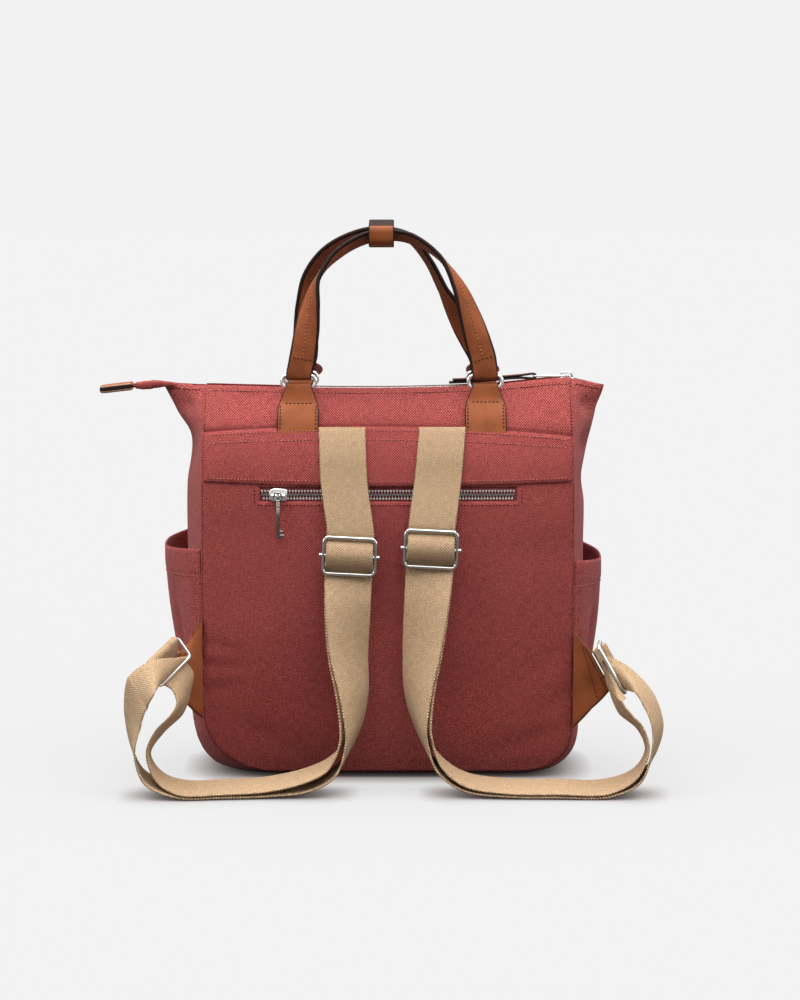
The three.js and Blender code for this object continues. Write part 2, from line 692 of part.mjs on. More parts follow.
// Slim key-like pull hanging from the bridge: an eye, a shaft, a plain ring bow and a small bit
function pocketZipPull() {
  const size = POCKET_PULL;
  const drop = size.eye - POCKET_SLIDER.bridge - GAP - size.wire;
  const eyeMiddle = V(0, 0, -drop);
  const ring = (middle, right, up, radius, wire) => {
    const path = roundedPath(middle, right, up, 2 * radius, 2 * radius, radius, 4);
    return wireLoop(path.filter((_, i) => i % 5 !== 4), right.clone().cross(up), wire);
  };
  const eye = ring(eyeMiddle, V(0, 1, 0), V(0, 0, 1), size.eye, size.wire);
  const foot = -drop - size.length;
  const shaft = bar(V(0, 0, -drop - size.eye + 0.2), V(0, 0, foot), size.shaft, 8);
  const bit = box(V(0.2, -0.9, foot + 1), V(size.bit - 1.5, 0.9, foot + 3.4));
  const secondBit = box(V(0.2, -0.9, foot + 4.6), V(size.bit - 2.4, 0.9, foot + 6.6));
  const collar = bar(V(0, 0, -drop - size.eye - 5), V(0, 0, -drop - size.eye - 3.4), 2, 8);
  const geometry = join(eye, shaft, bit, secondBit, collar);
  geometry.translate(pullPivot.x, pullPivot.y, pullPivot.z);
  return geometry;
}

// Zip along the top

// The tape lies in the mouth of the bag and rises over the left side wall to its tail
function tapeHeight(x) {
  const rise = clamp((-x - 126) / 22, 0, 1);
  return topLine(x) - lerp(TOP_TAPE.below, TOP_TAPE.belowAtTail, rise);
}

function topZipTape() {
  const stops = [];
  for (let i = 0; i <= 24; i += 1) stops.push(lerp(TOP_TAPE.left, TOP_TAPE.right, i / 24));
  const rows = (down) => [-1, 0, 1].map((side) => stops.map((x) => {
    const past = clamp((Math.abs(x) - HALF_WIDTH + 4) / 32, 0, 1);
    const half = lerp(TOP_TAPE.halfWidth, TOP_TAPE.tip, past);
    return V(x, side * half, tapeHeight(x) - down);
  }));
  return gridSolid(rows(0), rows(TOP_TAPE.thick));
}

function topZipChain() {
  const stops = [];
  for (let i = 0; i <= 20; i += 1) stops.push(lerp(TOP_CHAIN.left, TOP_CHAIN.right, i / 20));
  const rows = (up) => [-0.5, 0.5].map((side) =>
    stops.map((x) => V(x, side * TOP_CHAIN.wide, tapeHeight(x) + GAP + up)));
  return gridSolid(rows(TOP_CHAIN.tall), rows(0));
}

const topSliderFoot = tapeHeight(TOP_SLIDER.x) + GAP;

function topZipSlider() {
  const size = TOP_SLIDER;
  const geometry = sliderWithBridge(size.long, size.wide, size.tall, size.bridge, size.bridgeHigh);
  geometry.rotateX(-Math.PI / 2);
  geometry.translate(size.x, 0, topSliderFoot);
  return geometry;
}

// Wire link from the slider's bridge to the fold of the leather pull
const linkHeight = topSliderFoot + TOP_SLIDER.tall + GAP + TOP_LINK.wire;

function topZipLink() {
  const size = TOP_LINK;
  const middle = V((size.left + size.right) / 2, 0, linkHeight);
  const path = roundedPath(middle, V(1, 0, 0), V(0, 1, 0), size.right - size.left, size.wide, size.corner, 3);
  return wireLoop(path, V(0, 0, 1), size.wire);
}

// Leather pull folded through the link, both layers lying back along the zip
function topZipPull() {
  const across = V(0, 1, 0);
  const radius = TOP_LINK.wire + GAP + LEATHER / 2;
  const fold = V(TOP_LINK.left, 0, linkHeight);
  const chainTop = (x) => tapeHeight(x) + GAP + TOP_CHAIN.tall;
  const lay = (x, up) => V(x, 0, chainTop(x) + TOP_PULL.above + up);
  const low = LEATHER / 2;
  const high = LEATHER * 1.5 + GAP;
  const rows = [
    { at: lay(TOP_PULL.left, low), width: TOP_PULL.wide },
    { at: lay(TOP_PULL.left + 22, low), width: TOP_PULL.wide },
    { at: lay(fold.x - 12, low), width: TOP_PULL.wide * 0.7 },
  ];
  for (const angle of [-90, -45, 0, 45, 90]) {
    const out = V(Math.cos(radians(angle)) * radius, 0, Math.sin(radians(angle)) * radius);
    rows.push({ at: fold.clone().add(out), width: 4.6 });
  }
  rows.push({ at: lay(fold.x - 12, high), width: TOP_PULL.wide * 0.7 });
  rows.push({ at: lay(TOP_PULL.left + 22, high), width: TOP_PULL.wide });
  rows.push({ at: lay(TOP_PULL.left + 3, high), width: TOP_PULL.wide });
  return ribbon(rows.map((row) => ({ ...row, across })), LEATHER, 14);
}

// A bar of rounded sections along X, from a table of { x, z, tall, wide }
function sectionBar(table) {
  const sectionSides = 12;
  const points = [];
  const triangles = [];
  table.forEach((row) => {
    for (let k = 0; k < sectionSides; k += 1) {
      const angle = k / sectionSides * 2 * Math.PI;
      const c = Math.cos(angle);
      const s = Math.sin(angle);
      const y = Math.sign(c) * Math.abs(c) ** 0.6 * row.wide / 2;
      const z = Math.sign(s) * Math.abs(s) ** 0.6 * row.tall / 2;
      points.push(V(row.x, y, row.z + z));
    }
  });
  for (let r = 0; r < table.length - 1; r += 1) {
    for (let k = 0; k < sectionSides; k += 1) {
      const a = r * sectionSides + k;
      const b = r * sectionSides + (k + 1) % sectionSides;
      triangles.push([a, b, b + sectionSides], [a, b + sectionSides, a + sectionSides]);
    }
  }
  const end = (table.length - 1) * sectionSides;
  for (let k = 1; k < sectionSides - 1; k += 1) {
    triangles.push([0, k + 1, k], [end, end + k, end + k + 1]);
  }
  return closedGeometry(points, triangles);
}

// Handles

function handleRing(side, facing) {
  const size = HANDLE_RING;
  const middle = V(TAB_X[side], facing * size.depth, size.z);
  const path = roundedPath(middle, V(1, 0, 0), V(0, 0, 1), size.wide, size.tall, size.corner);
  return wireLoop(path, V(0, -1, 0), size.wire);
}

// Rows of a strap that turns round a straight bar, in the plane of two directions
function turnRound(middle, first, second, radius, angles) {
  return angles.map((angle) => middle.clone()
    .addScaledVector(first, radius * Math.cos(radians(angle)))
    .addScaledVector(second, radius * Math.sin(radians(angle))));
}

// Leather tab: up the panel, over the lower bar of the ring, and back down behind itself
function handleTab(side, facing) {
  const x = TAB_X[side];
  const across = V(1, 0, 0);
  const inner = 3 * GAP + LEATHER / 2;
  const outer = inner + LEATHER + GAP;
  const ringBar = V(x, facing * HANDLE_RING.depth, HANDLE_RING.z - HANDLE_RING.tall / 2);
  const radius = HANDLE_RING.wire + GAP + LEATHER / 2;
  const rows = [
    { at: offPanel(x, TAB.foot, facing, outer), width: TAB.width },
    { at: offPanel(x, 300, facing, outer), width: TAB.width },
    { at: offPanel(x, TAB.shoulder, facing, outer), width: TAB.width * 0.92 },
  ];
  for (const at of turnRound(ringBar, V(0, facing, 0), V(0, 0, 1), radius, [0, 45, 90, 135, 180])) {
    rows.push({ at, width: TAB.loopWidth });
  }
  rows.push({ at: offPanel(x, TAB.shoulder, facing, inner), width: TAB.width * 0.85 });
  rows.push({ at: offPanel(x, TAB.tuck, facing, inner), width: TAB.width * 0.85 });
  return ribbon(rows.map((row) => ({ ...row, across })), LEATHER, 9);
}

// Handle: looped round the upper bar of a ring at each end, doubled leather between
function handle(table, facing) {
  const path = new THREE.CatmullRomCurve3(table.map((row) => V(row.x, row.y, row.z)), false, "centripetal");
  const main = table.map((row, i) => {
    const along = path.getTangent(i / (table.length - 1));
    const outward = V(-along.z, 0, along.x).normalize();
    const across = outward.multiplyScalar(Math.cos(radians(row.turn)))
      .add(V(0, Math.sin(radians(row.turn)), 0)).normalize();
    return { at: V(row.x, row.y, row.z), across, width: HANDLE.width, thick: HANDLE.thick };
  });
  const radius = HANDLE_RING.wire + GAP + LEATHER / 2;
  const loop = (side, across) => {
    const ringBar = V(TAB_X[side], facing * HANDLE_RING.depth, HANDLE_RING.z + HANDLE_RING.tall / 2);
    const turned = turnRound(ringBar, V(0, -facing, 0), V(0, 0, -1), radius, [-25, 20, 65, 110, 155, 185]);
    return turned.map((at) => ({ at, across, width: HANDLE.loopWidth, thick: LEATHER }));
  };
  const start = loop("left", V(-1, 0, 0));
  const end = loop("right", V(1, 0, 0)).reverse();
  return ribbon([...start, ...main, ...end], HANDLE.thick, 8);
}

// Rounded patch on the outer face of the front handle's foot
function handlePatch(side) {
  const shape = new THREE.Shape();
  shape.absellipse(0, 0, PATCH.wide / 2, PATCH.tall / 2, 0, 2 * Math.PI);
  const options = { depth: PATCH.thick, bevelEnabled: false, curveSegments: 12 };
  const geometry = new THREE.ExtrudeGeometry(shape, options);
  geometry.rotateX(Math.PI / 2);
  const inner = HANDLE_RING.depth + HANDLE_RING.wire + LEATHER + 5 * GAP;
  geometry.translate(PATCH_X[side], inner + PATCH.thick, PATCH.z);
  return geometry;
}

// Leather band closed round both handles
function handleKeeper() {
  const middle = V(0, 0, 0);
  KEEPER_OUTLINE.forEach((row) => middle.add(V(row.y, row.z, 0).divideScalar(KEEPER_OUTLINE.length)));
  const outline = (inset) => KEEPER_OUTLINE.map((row) => new THREE.Vector2(
    row.y - Math.sign(row.y - middle.x) * inset,
    row.z - Math.sign(row.z - middle.y) * inset,
  ));
  const shape = new THREE.Shape(outline(0));
  shape.holes.push(new THREE.Path(outline(KEEPER.wall)));
  const options = { depth: KEEPER.right - KEEPER.left, bevelEnabled: false };
  const geometry = new THREE.ExtrudeGeometry(shape, options);
  geometry.rotateX(Math.PI / 2);
  geometry.rotateZ(Math.PI / 2);
  geometry.translate(KEEPER.left, 0, 0);
  return geometry;
}

// Shoulder straps

// The frame's own directions: right, up and towards the viewer
function sliderAxes(side) {
  const tilt = radians(SLIDERS[side].tilt);
  return {
    middle: V(SLIDERS[side].x, SLIDERS[side].y, SLIDERS[side].z),
    right: V(Math.cos(tilt), 0, Math.sin(tilt)),
    up: V(-Math.sin(tilt), 0, Math.cos(tilt)),
    near: V(0, -1, 0),
  };
}

function strapSlider(side) {
  const { middle, right, up } = sliderAxes(side);
  const path = roundedPath(middle, right, up, SLIDER.wide, SLIDER.tall, SLIDER.corner);
  const frame = wireLoop(path, V(0, -1, 0), SLIDER.wire);
  const ends = [-1, 1].map((end) => middle.clone().addScaledVector(right, end * SLIDER.pin));
  return join(frame, bar(ends[0], ends[1], SLIDER.wire * 0.96, 8));
}

function ringAxes(side) {
  const sign = sideSign[side];
  const size = CORNER_RINGS[side];
  const mirrored = (list) => V(sign * list[0], list[1], list[2]);
  const along = mirrored(size.along).normalize();
  const across = mirrored(size.across);
  across.addScaledVector(along, -across.dot(along)).normalize();
  return { bar: mirrored(size.bar), along, across };
}

// One length of webbing: yoke, slider, run to the ring, round its bar, back to the slider's bar
function shoulderStrap(side) {
  const sign = sideSign[side];
  const width = WEBBING_WIDTH;
  const inward = V(-sign, 0, 0);
  const root = STRAP_ROOT[side];
  const rows = [];
  const onYoke = 4 * GAP + CANVAS + WEBBING / 2;
  const rootX = sign * root.out;
  const upper = [[288, onYoke - 0.4], [284, onYoke + 0.2], [268, onYoke + 0.2], [248, onYoke + 0.4]];
  for (const [z, off] of upper) {
    const x = rootX - sign * root.lean * (290 - z) / 45;
    rows.push({ at: offPanel(x, z, -1, off), across: inward, width });
  }

  const { middle, right, up, near } = sliderAxes(side);
  const across = right.clone().multiplyScalar(-sign);
  const behind = -(SLIDER.wire + 3 * GAP + WEBBING / 2);
  const over = SLIDER.wire + WEBBING + 3 * GAP + WEBBING / 2;
  const inFrame = (rise, toViewer) =>
    middle.clone().addScaledVector(up, rise).addScaledVector(near, toViewer);
  const half = SLIDER.tall / 2;
  const weave = [
    { rise: 1.25, toViewer: behind },
    { rise: 0.95, toViewer: behind },
    { rise: 0.45, toViewer: over * 0.6 },
    { rise: 0, toViewer: over },
    { rise: -0.45, toViewer: over * 0.6 },
    { rise: -0.95, toViewer: behind },
  ];
  for (const { rise, toViewer } of weave) {
    rows.push({ at: inFrame(rise * half, toViewer), across, width });
  }

  const facing = (row) => {
    const turn = radians(row.turn);
    const tip = radians(row.tip);
    return V(-sign * Math.cos(turn) * Math.cos(tip), Math.sin(turn) * Math.cos(tip), Math.sin(tip));
  };
  const place = (row) => ({ at: V(sign * row.out, row.y, row.z), across: facing(row), width });
  const run = STRAP_RUN[side].map(place);
  const outerLoop = STRAP_OUTER_LOOP[side].map(place);
  const innerLoop = STRAP_INNER_LOOP[side].map(place);

  const ring = ringAxes(side);
  const nearFace = ring.along.clone().cross(ring.across).normalize();
  if (nearFace.y > 0) nearFace.negate();
  const bend = CORNER_RING.wire + GAP + WEBBING / 2;
  const seat = ring.bar.clone().addScaledVector(ring.along, STRAP_FOLD[side].shift);
  const fold = turnRound(seat, ring.across, nearFace, bend, [35, 0, -35, -70, -105])
    .map((at) => ({ at, across: ring.along, width: STRAP_FOLD[side].width }));

  const centres = run.map((row) => row.at);
  const layer = run.map((row, i) => {
    const before = centres[Math.max(i - 1, 0)];
    const after = centres[Math.min(i + 1, run.length - 1)];
    const along = after.clone().sub(before).normalize();
    const outerFace = along.cross(row.across).normalize().multiplyScalar(-sign);
    return { ...row, at: row.at.clone().addScaledVector(outerFace, -STRAP_RUN[side][i].apart) };
  });
  const second = behind - WEBBING - GAP;
  const backAtBar = -(SLIDER.wire + GAP + WEBBING / 2);
  const ending = [
    { at: inFrame(-half, second), across, width },
    { at: inFrame(-half * 0.45, (second + backAtBar) / 2), across, width },
  ];
  const turns = turnRound(middle, near, up, SLIDER.wire + GAP + WEBBING / 2, [180, 135, 90, 45, 0]);
  for (const at of turns) ending.push({ at, across, width });

  const there = [...rows, ...run, ...outerLoop];
  const back = [...innerLoop, ...layer.reverse(), ...ending];
  return ribbon([...there, ...fold, ...back], WEBBING, 9);
}

function cornerRing(side) {
  const { bar: strapBar, along, across } = ringAxes(side);
  const middle = strapBar.clone().addScaledVector(across, CORNER_RING.wide / 2);
  const path = roundedPath(middle, along, across, CORNER_RING.long, CORNER_RING.wide, CORNER_RING.corner);
  return wireLoop(path, along.clone().cross(across).normalize(), CORNER_RING.wire);
}

// End of the leather tab: its middle, direction along the end, and way back to the seam
function tabEnd(side) {
  const sign = sideSign[side];
  const size = CORNER_TABS[side];
  return V(sign * size.end[0], size.end[1], size.end[2]);
}

function cornerTab(side) {
  const sign = sideSign[side];
  const size = CORNER_TABS[side];
  const { along } = ringAxes(side);
  const seamDepth = halfDepth((size.seamLow + size.seamHigh) / 2) + 1;
  const onSeam = (z) => V(sign * (HALF_WIDTH + 0.8), -seamDepth, z);
  const atEnd = (reach) => tabEnd(side).addScaledVector(along, reach * size.endWidth / 2);
  const rows = [0, 0.5, 1].map((way) => {
    const low = onSeam(size.seamLow).lerp(atEnd(-1), way);
    const high = onSeam(size.seamHigh).lerp(atEnd(1), way);
    const across = high.clone().sub(low);
    return { at: low.lerp(high, 0.5), across: across.clone().normalize(), width: across.length() };
  });
  return ribbon(rows, 2 * LEATHER, 9);
}

// Short webbing loop from the leather tab round the other bar of the ring
function cornerLoop(side) {
  const { bar: strapBar, along, across } = ringAxes(side);
  const ringBar = strapBar.clone().addScaledVector(across, CORNER_RING.wide);
  const end = tabEnd(side);
  const away = ringBar.clone().sub(end);
  away.addScaledVector(along, -away.dot(along));
  const reach = away.length();
  away.normalize();
  const cross = along.clone().cross(away).normalize();
  const bend = CORNER_RING.wire + GAP + WEBBING / 2;
  const rows = turnRound(ringBar, cross, away, bend, [0, 45, 90, 135, 180]);
  const start = ringBar.clone().addScaledVector(away, -reach + 2.6).addScaledVector(cross, 1.1);
  const finish = ringBar.clone().addScaledVector(away, -reach + 2.6).addScaledVector(cross, -1.1);
  const all = [start, ...rows, finish].map((at) => ({ at, across: along, width: CORNER_LOOP_WIDTH }));
  return ribbon(all, WEBBING, 6);
}

// The whole backpack

const backpack = new THREE.Group();
backpack.name = "backpack";

function add(name, geometry, material) {
  const mesh = new THREE.Mesh(geometry, material);
  mesh.name = name;
  backpack.add(mesh);
}

add("back_panel", backPanel(), canvas);
add("front_panel", panel(1), canvas);
add("gusset", gusset(), canvas);
add("yoke_band", yokeBand(), canvas);

add("pocket_zip_tape", pocketZipTape(), zipTape);
add("pocket_zip_chain", pocketZipChain(), nickel);
add("pocket_zip_slider", pocketZipSlider(), nickel);
add("pocket_zip_pull", pocketZipPull(), nickel);

add("top_zip_tape", topZipTape(), zipTape);
add("top_zip_chain", topZipChain(), nickel);
add("top_zip_slider", topZipSlider(), nickel);
add("top_zip_link", topZipLink(), nickel);
add("top_zip_pull", topZipPull(), leather);
add("zip_tail", sectionBar(TAIL), canvas);
add("zip_tail_tab", sectionBar(TAIL_TAB), leather);

for (const side of sides) {
  add(`side_pocket_${side}`, sidePocket(side), canvas);
  add(`handle_tab_back_${side}`, handleTab(side, -1), leather);
  add(`handle_tab_front_${side}`, handleTab(side, 1), leather);
  add(`handle_ring_back_${side}`, handleRing(side, -1), nickel);
  add(`handle_ring_front_${side}`, handleRing(side, 1), nickel);
  add(`handle_patch_${side}`, handlePatch(side), leather);
  add(`shoulder_strap_${side}`, shoulderStrap(side), webbing);
  add(`strap_slider_${side}`, strapSlider(side), nickel);
  add(`corner_tab_${side}`, cornerTab(side), leather);
  add(`corner_loop_${side}`, cornerLoop(side), webbing);
  add(`corner_ring_${side}`, cornerRing(side), nickel);
}

add("handle_back", handle(HANDLE_BACK, -1), leather);
add("handle_front", handle(HANDLE_FRONT, 1), leather);
add("handle_keeper", handleKeeper(), leather);

export default backpack;
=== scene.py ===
"""Looks of the fabric backpack: sewn canvas body, leather trim, webbing straps and nickel fittings.

Sizes are millimetres in the part's frame: +X right, -Y towards the viewer, +Z up.
"""

import math

import bpy
import numpy as np
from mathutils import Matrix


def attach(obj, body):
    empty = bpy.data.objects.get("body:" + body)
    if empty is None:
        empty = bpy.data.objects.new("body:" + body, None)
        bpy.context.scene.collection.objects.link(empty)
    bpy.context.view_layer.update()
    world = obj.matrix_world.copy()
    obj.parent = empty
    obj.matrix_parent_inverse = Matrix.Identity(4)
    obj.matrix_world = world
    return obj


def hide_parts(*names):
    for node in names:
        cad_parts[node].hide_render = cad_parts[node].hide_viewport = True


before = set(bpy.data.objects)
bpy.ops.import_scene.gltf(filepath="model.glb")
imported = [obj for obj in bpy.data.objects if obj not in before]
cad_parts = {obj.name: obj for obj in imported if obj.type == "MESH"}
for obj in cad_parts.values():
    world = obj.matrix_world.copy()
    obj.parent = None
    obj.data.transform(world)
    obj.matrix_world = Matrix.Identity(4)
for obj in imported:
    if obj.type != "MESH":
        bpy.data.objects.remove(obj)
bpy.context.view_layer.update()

MM = 0.001
BAG = "bag"
PULL = "pocket_pull"
RIGHT, AWAY, UP = np.eye(3)


def table(names, *rows):
    """Rows of numbers under named columns."""
    return [dict(zip(names.split(), row)) for row in rows]


# Driving sizes of the body

GAP = 0.3
CANVAS = 1.6
LEATHER = 1.8
WEBBING = 1.6
WEBBING_WIDTH = 38.0
HALF_WIDTH = 152.0
FOOT = 6.0
TOP = 320.0
CORNER = {"left": 52.0, "right": 35.0}
LIFT_FROM = 275.0               # above this level the body follows the sagging top line
WING_DROP = 0.8                 # the side walls end a little below the panels
BASE_FLAT = 1.7                 # how early the base's curve flattens out
SEAM_ROLL = {"depth": 1.5, "width": 5.0}
SIDES = ("left", "right")
SIGN = {"left": -1.0, "right": 1.0}
FACING = {"back": -1, "front": 1}
BACK = FACING["back"]

LEVELS = table(
    "z half_depth belly round",
    (6, 54, 0, 2.0),
    (22, 56, 2, 2.0),
    (55, 59, 4, 2.0),
    (120, 62, 7, 2.0),
    (190, 61, 6, 2.0),
    (240, 57, 4, 1.9),
    (272, 49, 3, 1.7),
    (298, 33, 2, 1.4),
    (320, 12, 0, 1.2),
)
WALL_REACH = {
    "left": table(
        "z out", (6, 6), (22, 15), (55, 14), (120, 14), (190, 16),
        (240, 16), (265, 13.3), (283, 13.5), (298, 24), (320, 36)),
    "right": table(
        "z out", (6, 6), (22, 9), (55, 10), (120, 11), (190, 11.5),
        (225, 12), (247, 9.5), (268, 13.5), (295, 20.8), (320, 28.5)),
}
TOP_LINE = table("x z", (-186, 324.5), (-150, 323), (-20, 320.5), (80, 323), (150, 329), (181, 326))

# Dents of the side walls: level, place from the back seam (-1) to the front seam (1), depth,
# spread up the wall and across it, and how much the dent leans
DENT_COLUMNS = "z t depth tall wide lean"
DENTS = {
    "left": table(
        DENT_COLUMNS,
        (305, -0.5, 6.5, 7, 0.3, 0),
        (268, -0.4, 3, 12, 0.35, 0),
        (300, 0.5, 4, 12, 0.3, 0),
        (232, -0.55, 1.6, 30, 0.16, 0.004),
        (215, 0.35, 1.8, 26, 0.2, 0),
        (40, -0.4, 1.8, 14, 0.3, 0.01),
    ),
    "right": table(
        DENT_COLUMNS,
        (303, -0.5, 7, 6.5, 0.32, 0),
        (275, -0.5, 5, 8, 0.32, 0),
        (298, 0.5, 4, 12, 0.3, 0),
        (240, -0.5, 1.6, 26, 0.18, -0.004),
        (220, 0.4, 1.8, 24, 0.2, 0),
        (38, -0.4, 1.8, 14, 0.3, 0.01),
    ),
}

# Soft folds pressed into the panels: middle, half length, half width, direction in degrees, depth
FOLD_COLUMNS = "x z long wide angle depth"
FOLDS = {
    "back": table(
        FOLD_COLUMNS,
        (-140, 112, 22, 5, -14, 1.5),
        (-136, 96, 26, 5, -4, 1.4),
        (-138, 76, 24, 6, 12, 1.2),
        (124, 96, 40, 9, 42, 1.5),
        (140, 66, 22, 6, 30, 1.1),
        (112, 32, 36, 8, 20, 1.2),
        (-96, 34, 34, 8, -28, 1.1),
        (-118, 205, 14, 34, 90, 0.9),
        (122, 190, 15, 40, 90, 0.9),
        (70, 120, 60, 16, 64, 0.8),
        (-86, 130, 60, 16, -60, 0.8),
        (116, 303, 12, 10, 60, 1.4),
        (-116, 302, 14, 9, -70, 1.2),
        (-32, 304, 12, 16, 90, 0.9),
        (30, 304, 12, 18, 90, 0.9),
    ),
    "front": table(
        FOLD_COLUMNS,
        (-120, 110, 40, 9, -38, 1.5),
        (124, 96, 40, 9, 42, 1.5),
        (112, 32, 36, 8, 20, 1.2),
        (-96, 34, 34, 8, -28, 1.1),
        (60, 190, 70, 16, 70, 1.2),
        (-70, 200, 70, 16, -66, 1.2),
        (0, 120, 60, 20, 4, 0.8),
        (0, 296, 14, 22, 90, 1.0),
        (120, 296, 12, 14, 70, 1.2),
        (-120, 296, 12, 14, -70, 1.2),
    ),
}

# Yoke and the zip under it
YOKE = {"top": 289, "top_drop": 7, "top_slant": -2, "low": 244, "low_rise": 3.5, "reach": 0.985, "off": 1.7}
YOKE_TALL = YOKE["top"] - YOKE["low"]
WINDOW = {"left": -105, "right": 106, "low": 230.5, "high": 243.5}
POCKET_CHAIN = {"left": -97, "right": 104, "mid": 236.5, "stub": 6}
POCKET_SLIDER = {"x": -89, "z": 236.5, "long": 17, "tall": 11, "thick": 2.8, "bridge": 1.2, "high": 5.4}
PULL_SIZE = {"eye": 3.4, "wire": 0.9, "shaft": 1.5, "length": 34, "bit": 6.4}

# Zip along the top, with its leather pull and tail
TOP_TAPE = {"half": 9, "thick": 0.9, "below": 2.8, "below_at_tail": 1.2, "left": -184, "right": 156, "tip": 4}
TOP_CHAIN = {"left": -166, "right": 141, "tall": 2.2}
TOP_SLIDER = {"x": 149, "long": 14, "wide": 9, "tall": 2.2, "bridge": 0.8, "high": 3.9}
TOP_LINK = {"left": 121.5, "right": 148, "wide": 8.6, "corner": 1.8, "wire": 0.7}
TOP_PULL = {"left": 51, "wide": 12, "above": 2, "neck": 4.6}
TAIL = table(
    "x z tall wide",
    (-168, 321.6, 1.6, 8), (-178, 322.6, 3.4, 9), (-187.5, 323, 5, 9),
    (-194, 322.8, 6.6, 12), (-202, 322, 7, 12), (-212, 321.8, 5, 11),
)
TAIL_TAB = table(
    "x z tall wide",
    (-212.6, 321.6, 7, 15), (-222, 320.6, 7, 16), (-234, 319.2, 7, 16), (-240.5, 318.5, 6.4, 12),
)

# Side pockets; their creases rise from the foot: place across, lean, upper end, depth and half width
POCKETS = {
    "left": {"foot": 56, "rim": 186, "rise": 8, "off": 17},
    "right": {"foot": 56, "rim": 176.5, "rise": 6, "off": 13},
}
POCKET_RIM_CURVE = 5
POCKET_HEM = 1 - 19.0 / 130     # share of the pocket's height at which its hem is sewn
POCKET_SEWN = 2.1               # the pocket's edges lie down on the wall where they meet the seams
POCKET_FOLDS = table(
    "across lean top deep wide",
    (-0.72, 0.3, 0.66, 3.6, 0.07), (-0.4, -0.2, 0.8, 2.8, 0.09), (0.45, 0.2, 0.7, 2.8, 0.1),
)

# Handles
HANDLE = {"width": 22, "loop": 21, "thick": 3.6}
HANDLE_PATHS = {
    "back": table(
        "x y z turn",
        (-70.5, -25, 345, 0), (-67, -24, 366, 15), (-63, -22, 390, 50), (-57.5, -20, 411, 85),
        (-41.5, -17, 431, 106), (-20, -14, 443.5, 111), (-5.5, -13, 446.5, 111), (18.5, -14, 444, 109),
        (42.5, -17, 428.5, 95), (58, -20, 405, 65), (67.5, -22, 380, 35), (74, -24, 360, 10),
        (78.5, -25, 345, 0),
    ),
    "front": table(
        "x y z turn",
        (-70.5, 25, 345, 0), (-69.5, 24, 364, -20), (-69, 22, 390, -45), (-65, 20, 413, -60),
        (-51, 17, 433.5, -72), (-26, 14, 447, -75), (-5.5, 13, 450, -75), (17.5, 14, 444.5, -74),
        (33.5, 17, 425.5, -78), (46.5, 20, 400.5, -73), (60, 22, 376, -42), (71.5, 24, 358, -10),
        (78.5, 25, 345, 0),
    ),
}
HANDLE_RING = {"wide": 27.4, "tall": 9.4, "corner": 3.8, "wire": 1.6, "depth": 23.5, "z": 326.5}
HANDLE_BEND = HANDLE_RING["wire"] + GAP + LEATHER / 2
TAB = {"width": 34, "loop": 21.6, "foot": 290, "shoulder": 306, "tuck": 297, "middle": 300}
TAB_X = {"left": -73.6, "right": 80.3}
PATCH = {"wide": 28.5, "tall": 14, "thick": 2, "z": 333.5}
PATCH_X = {"left": -69.6, "right": 80}
KEEPER = {"left": -15.8, "right": 5, "wall": 1.8, "round": 5.0}
KEEPER_OUTLINE = table("y z", (-27.5, 438.5), (-3, 436), (27.5, 443), (27.5, 460), (-27.5, 454))
KEEPER_SHADE_FROM = 454.2             # above this level the keeper's faces take the dark leather as painted shade on its top
KEEPER_SEAM = (-14, 437.2)      # place of the row that closes the keeper

# Shoulder straps: place, turn round the vertical and tip of the webbing, and how far its two layers lie apart
SLIDER = {"wide": 42, "tall": 29.5, "corner": 4, "wire": 1.5, "pin": 24.5, "head": 1.75, "head_long": 1.6}
SLIDERS = {
    "left": {"at": (-31, -79, 188.4), "tilt": -3},
    "right": {"at": (35, -79, 194.2), "tilt": -3},
}
STRAP_ROOT = {"left": {"out": 37.5, "lean": 2}, "right": {"out": 45, "lean": 4.5}}
RUN_COLUMNS = "out y z turn tip apart"
STRAP_RUN = {
    "left": table(
        RUN_COLUMNS,
        (32, -85, 150, 15, 0, 2.6), (31, -92, 110, 38, 0, 3), (26.5, -100, 76, 56, 3, 4),
        (28, -106, 46, 74, 6, 5), (40, -109, 20, 85, 7, 8), (62, -110, 8, 89, 6, 8),
        (96, -111, 4.1, 90, 6, 4), (132, -114, 3.7, 90, 6, 2.6), (166, -117, 4.2, 90, 6, 2.6),
    ),
    "right": table(
        RUN_COLUMNS,
        (31.5, -85, 152, 18, 0, 2.6), (27.5, -92, 114, 37, 0, 2.6), (24, -99, 80, 56, 3, 3),
        (26, -105, 52, 74, 6, 4), (38, -109, 24, 85, 7, 5), (60, -110, 8.5, 89, 6, 4),
        (95, -112, 4.1, 90, 6, 2.6), (135, -113, 3.7, 90, 6, 2.6), (176, -114, 4.2, 90, 6, 2.6),
    ),
}
LOOP_COLUMNS = "out y z turn tip"
STRAP_OUTER_LOOP = {
    "left": table(
        LOOP_COLUMNS,
        (194, -115, 14, 93, 2), (203.3, -116, 35.3, 98, -7), (203.8, -117, 62.3, 116, 12),
        (198.6, -123, 85, 124, 32), (186.8, -125.5, 97.5, 102, 33), (177, -107, 99, 72, 28),
    ),
    "right": table(
        LOOP_COLUMNS,
        (202, -112.5, 13, 94, 0), (213, -110.5, 31, 102, -5), (217, -107, 54, 109, -5),
        (210, -101, 75, 109, 2), (199, -94, 88.5, 95, 14), (189, -85.5, 93, 52, 45),
    ),
}
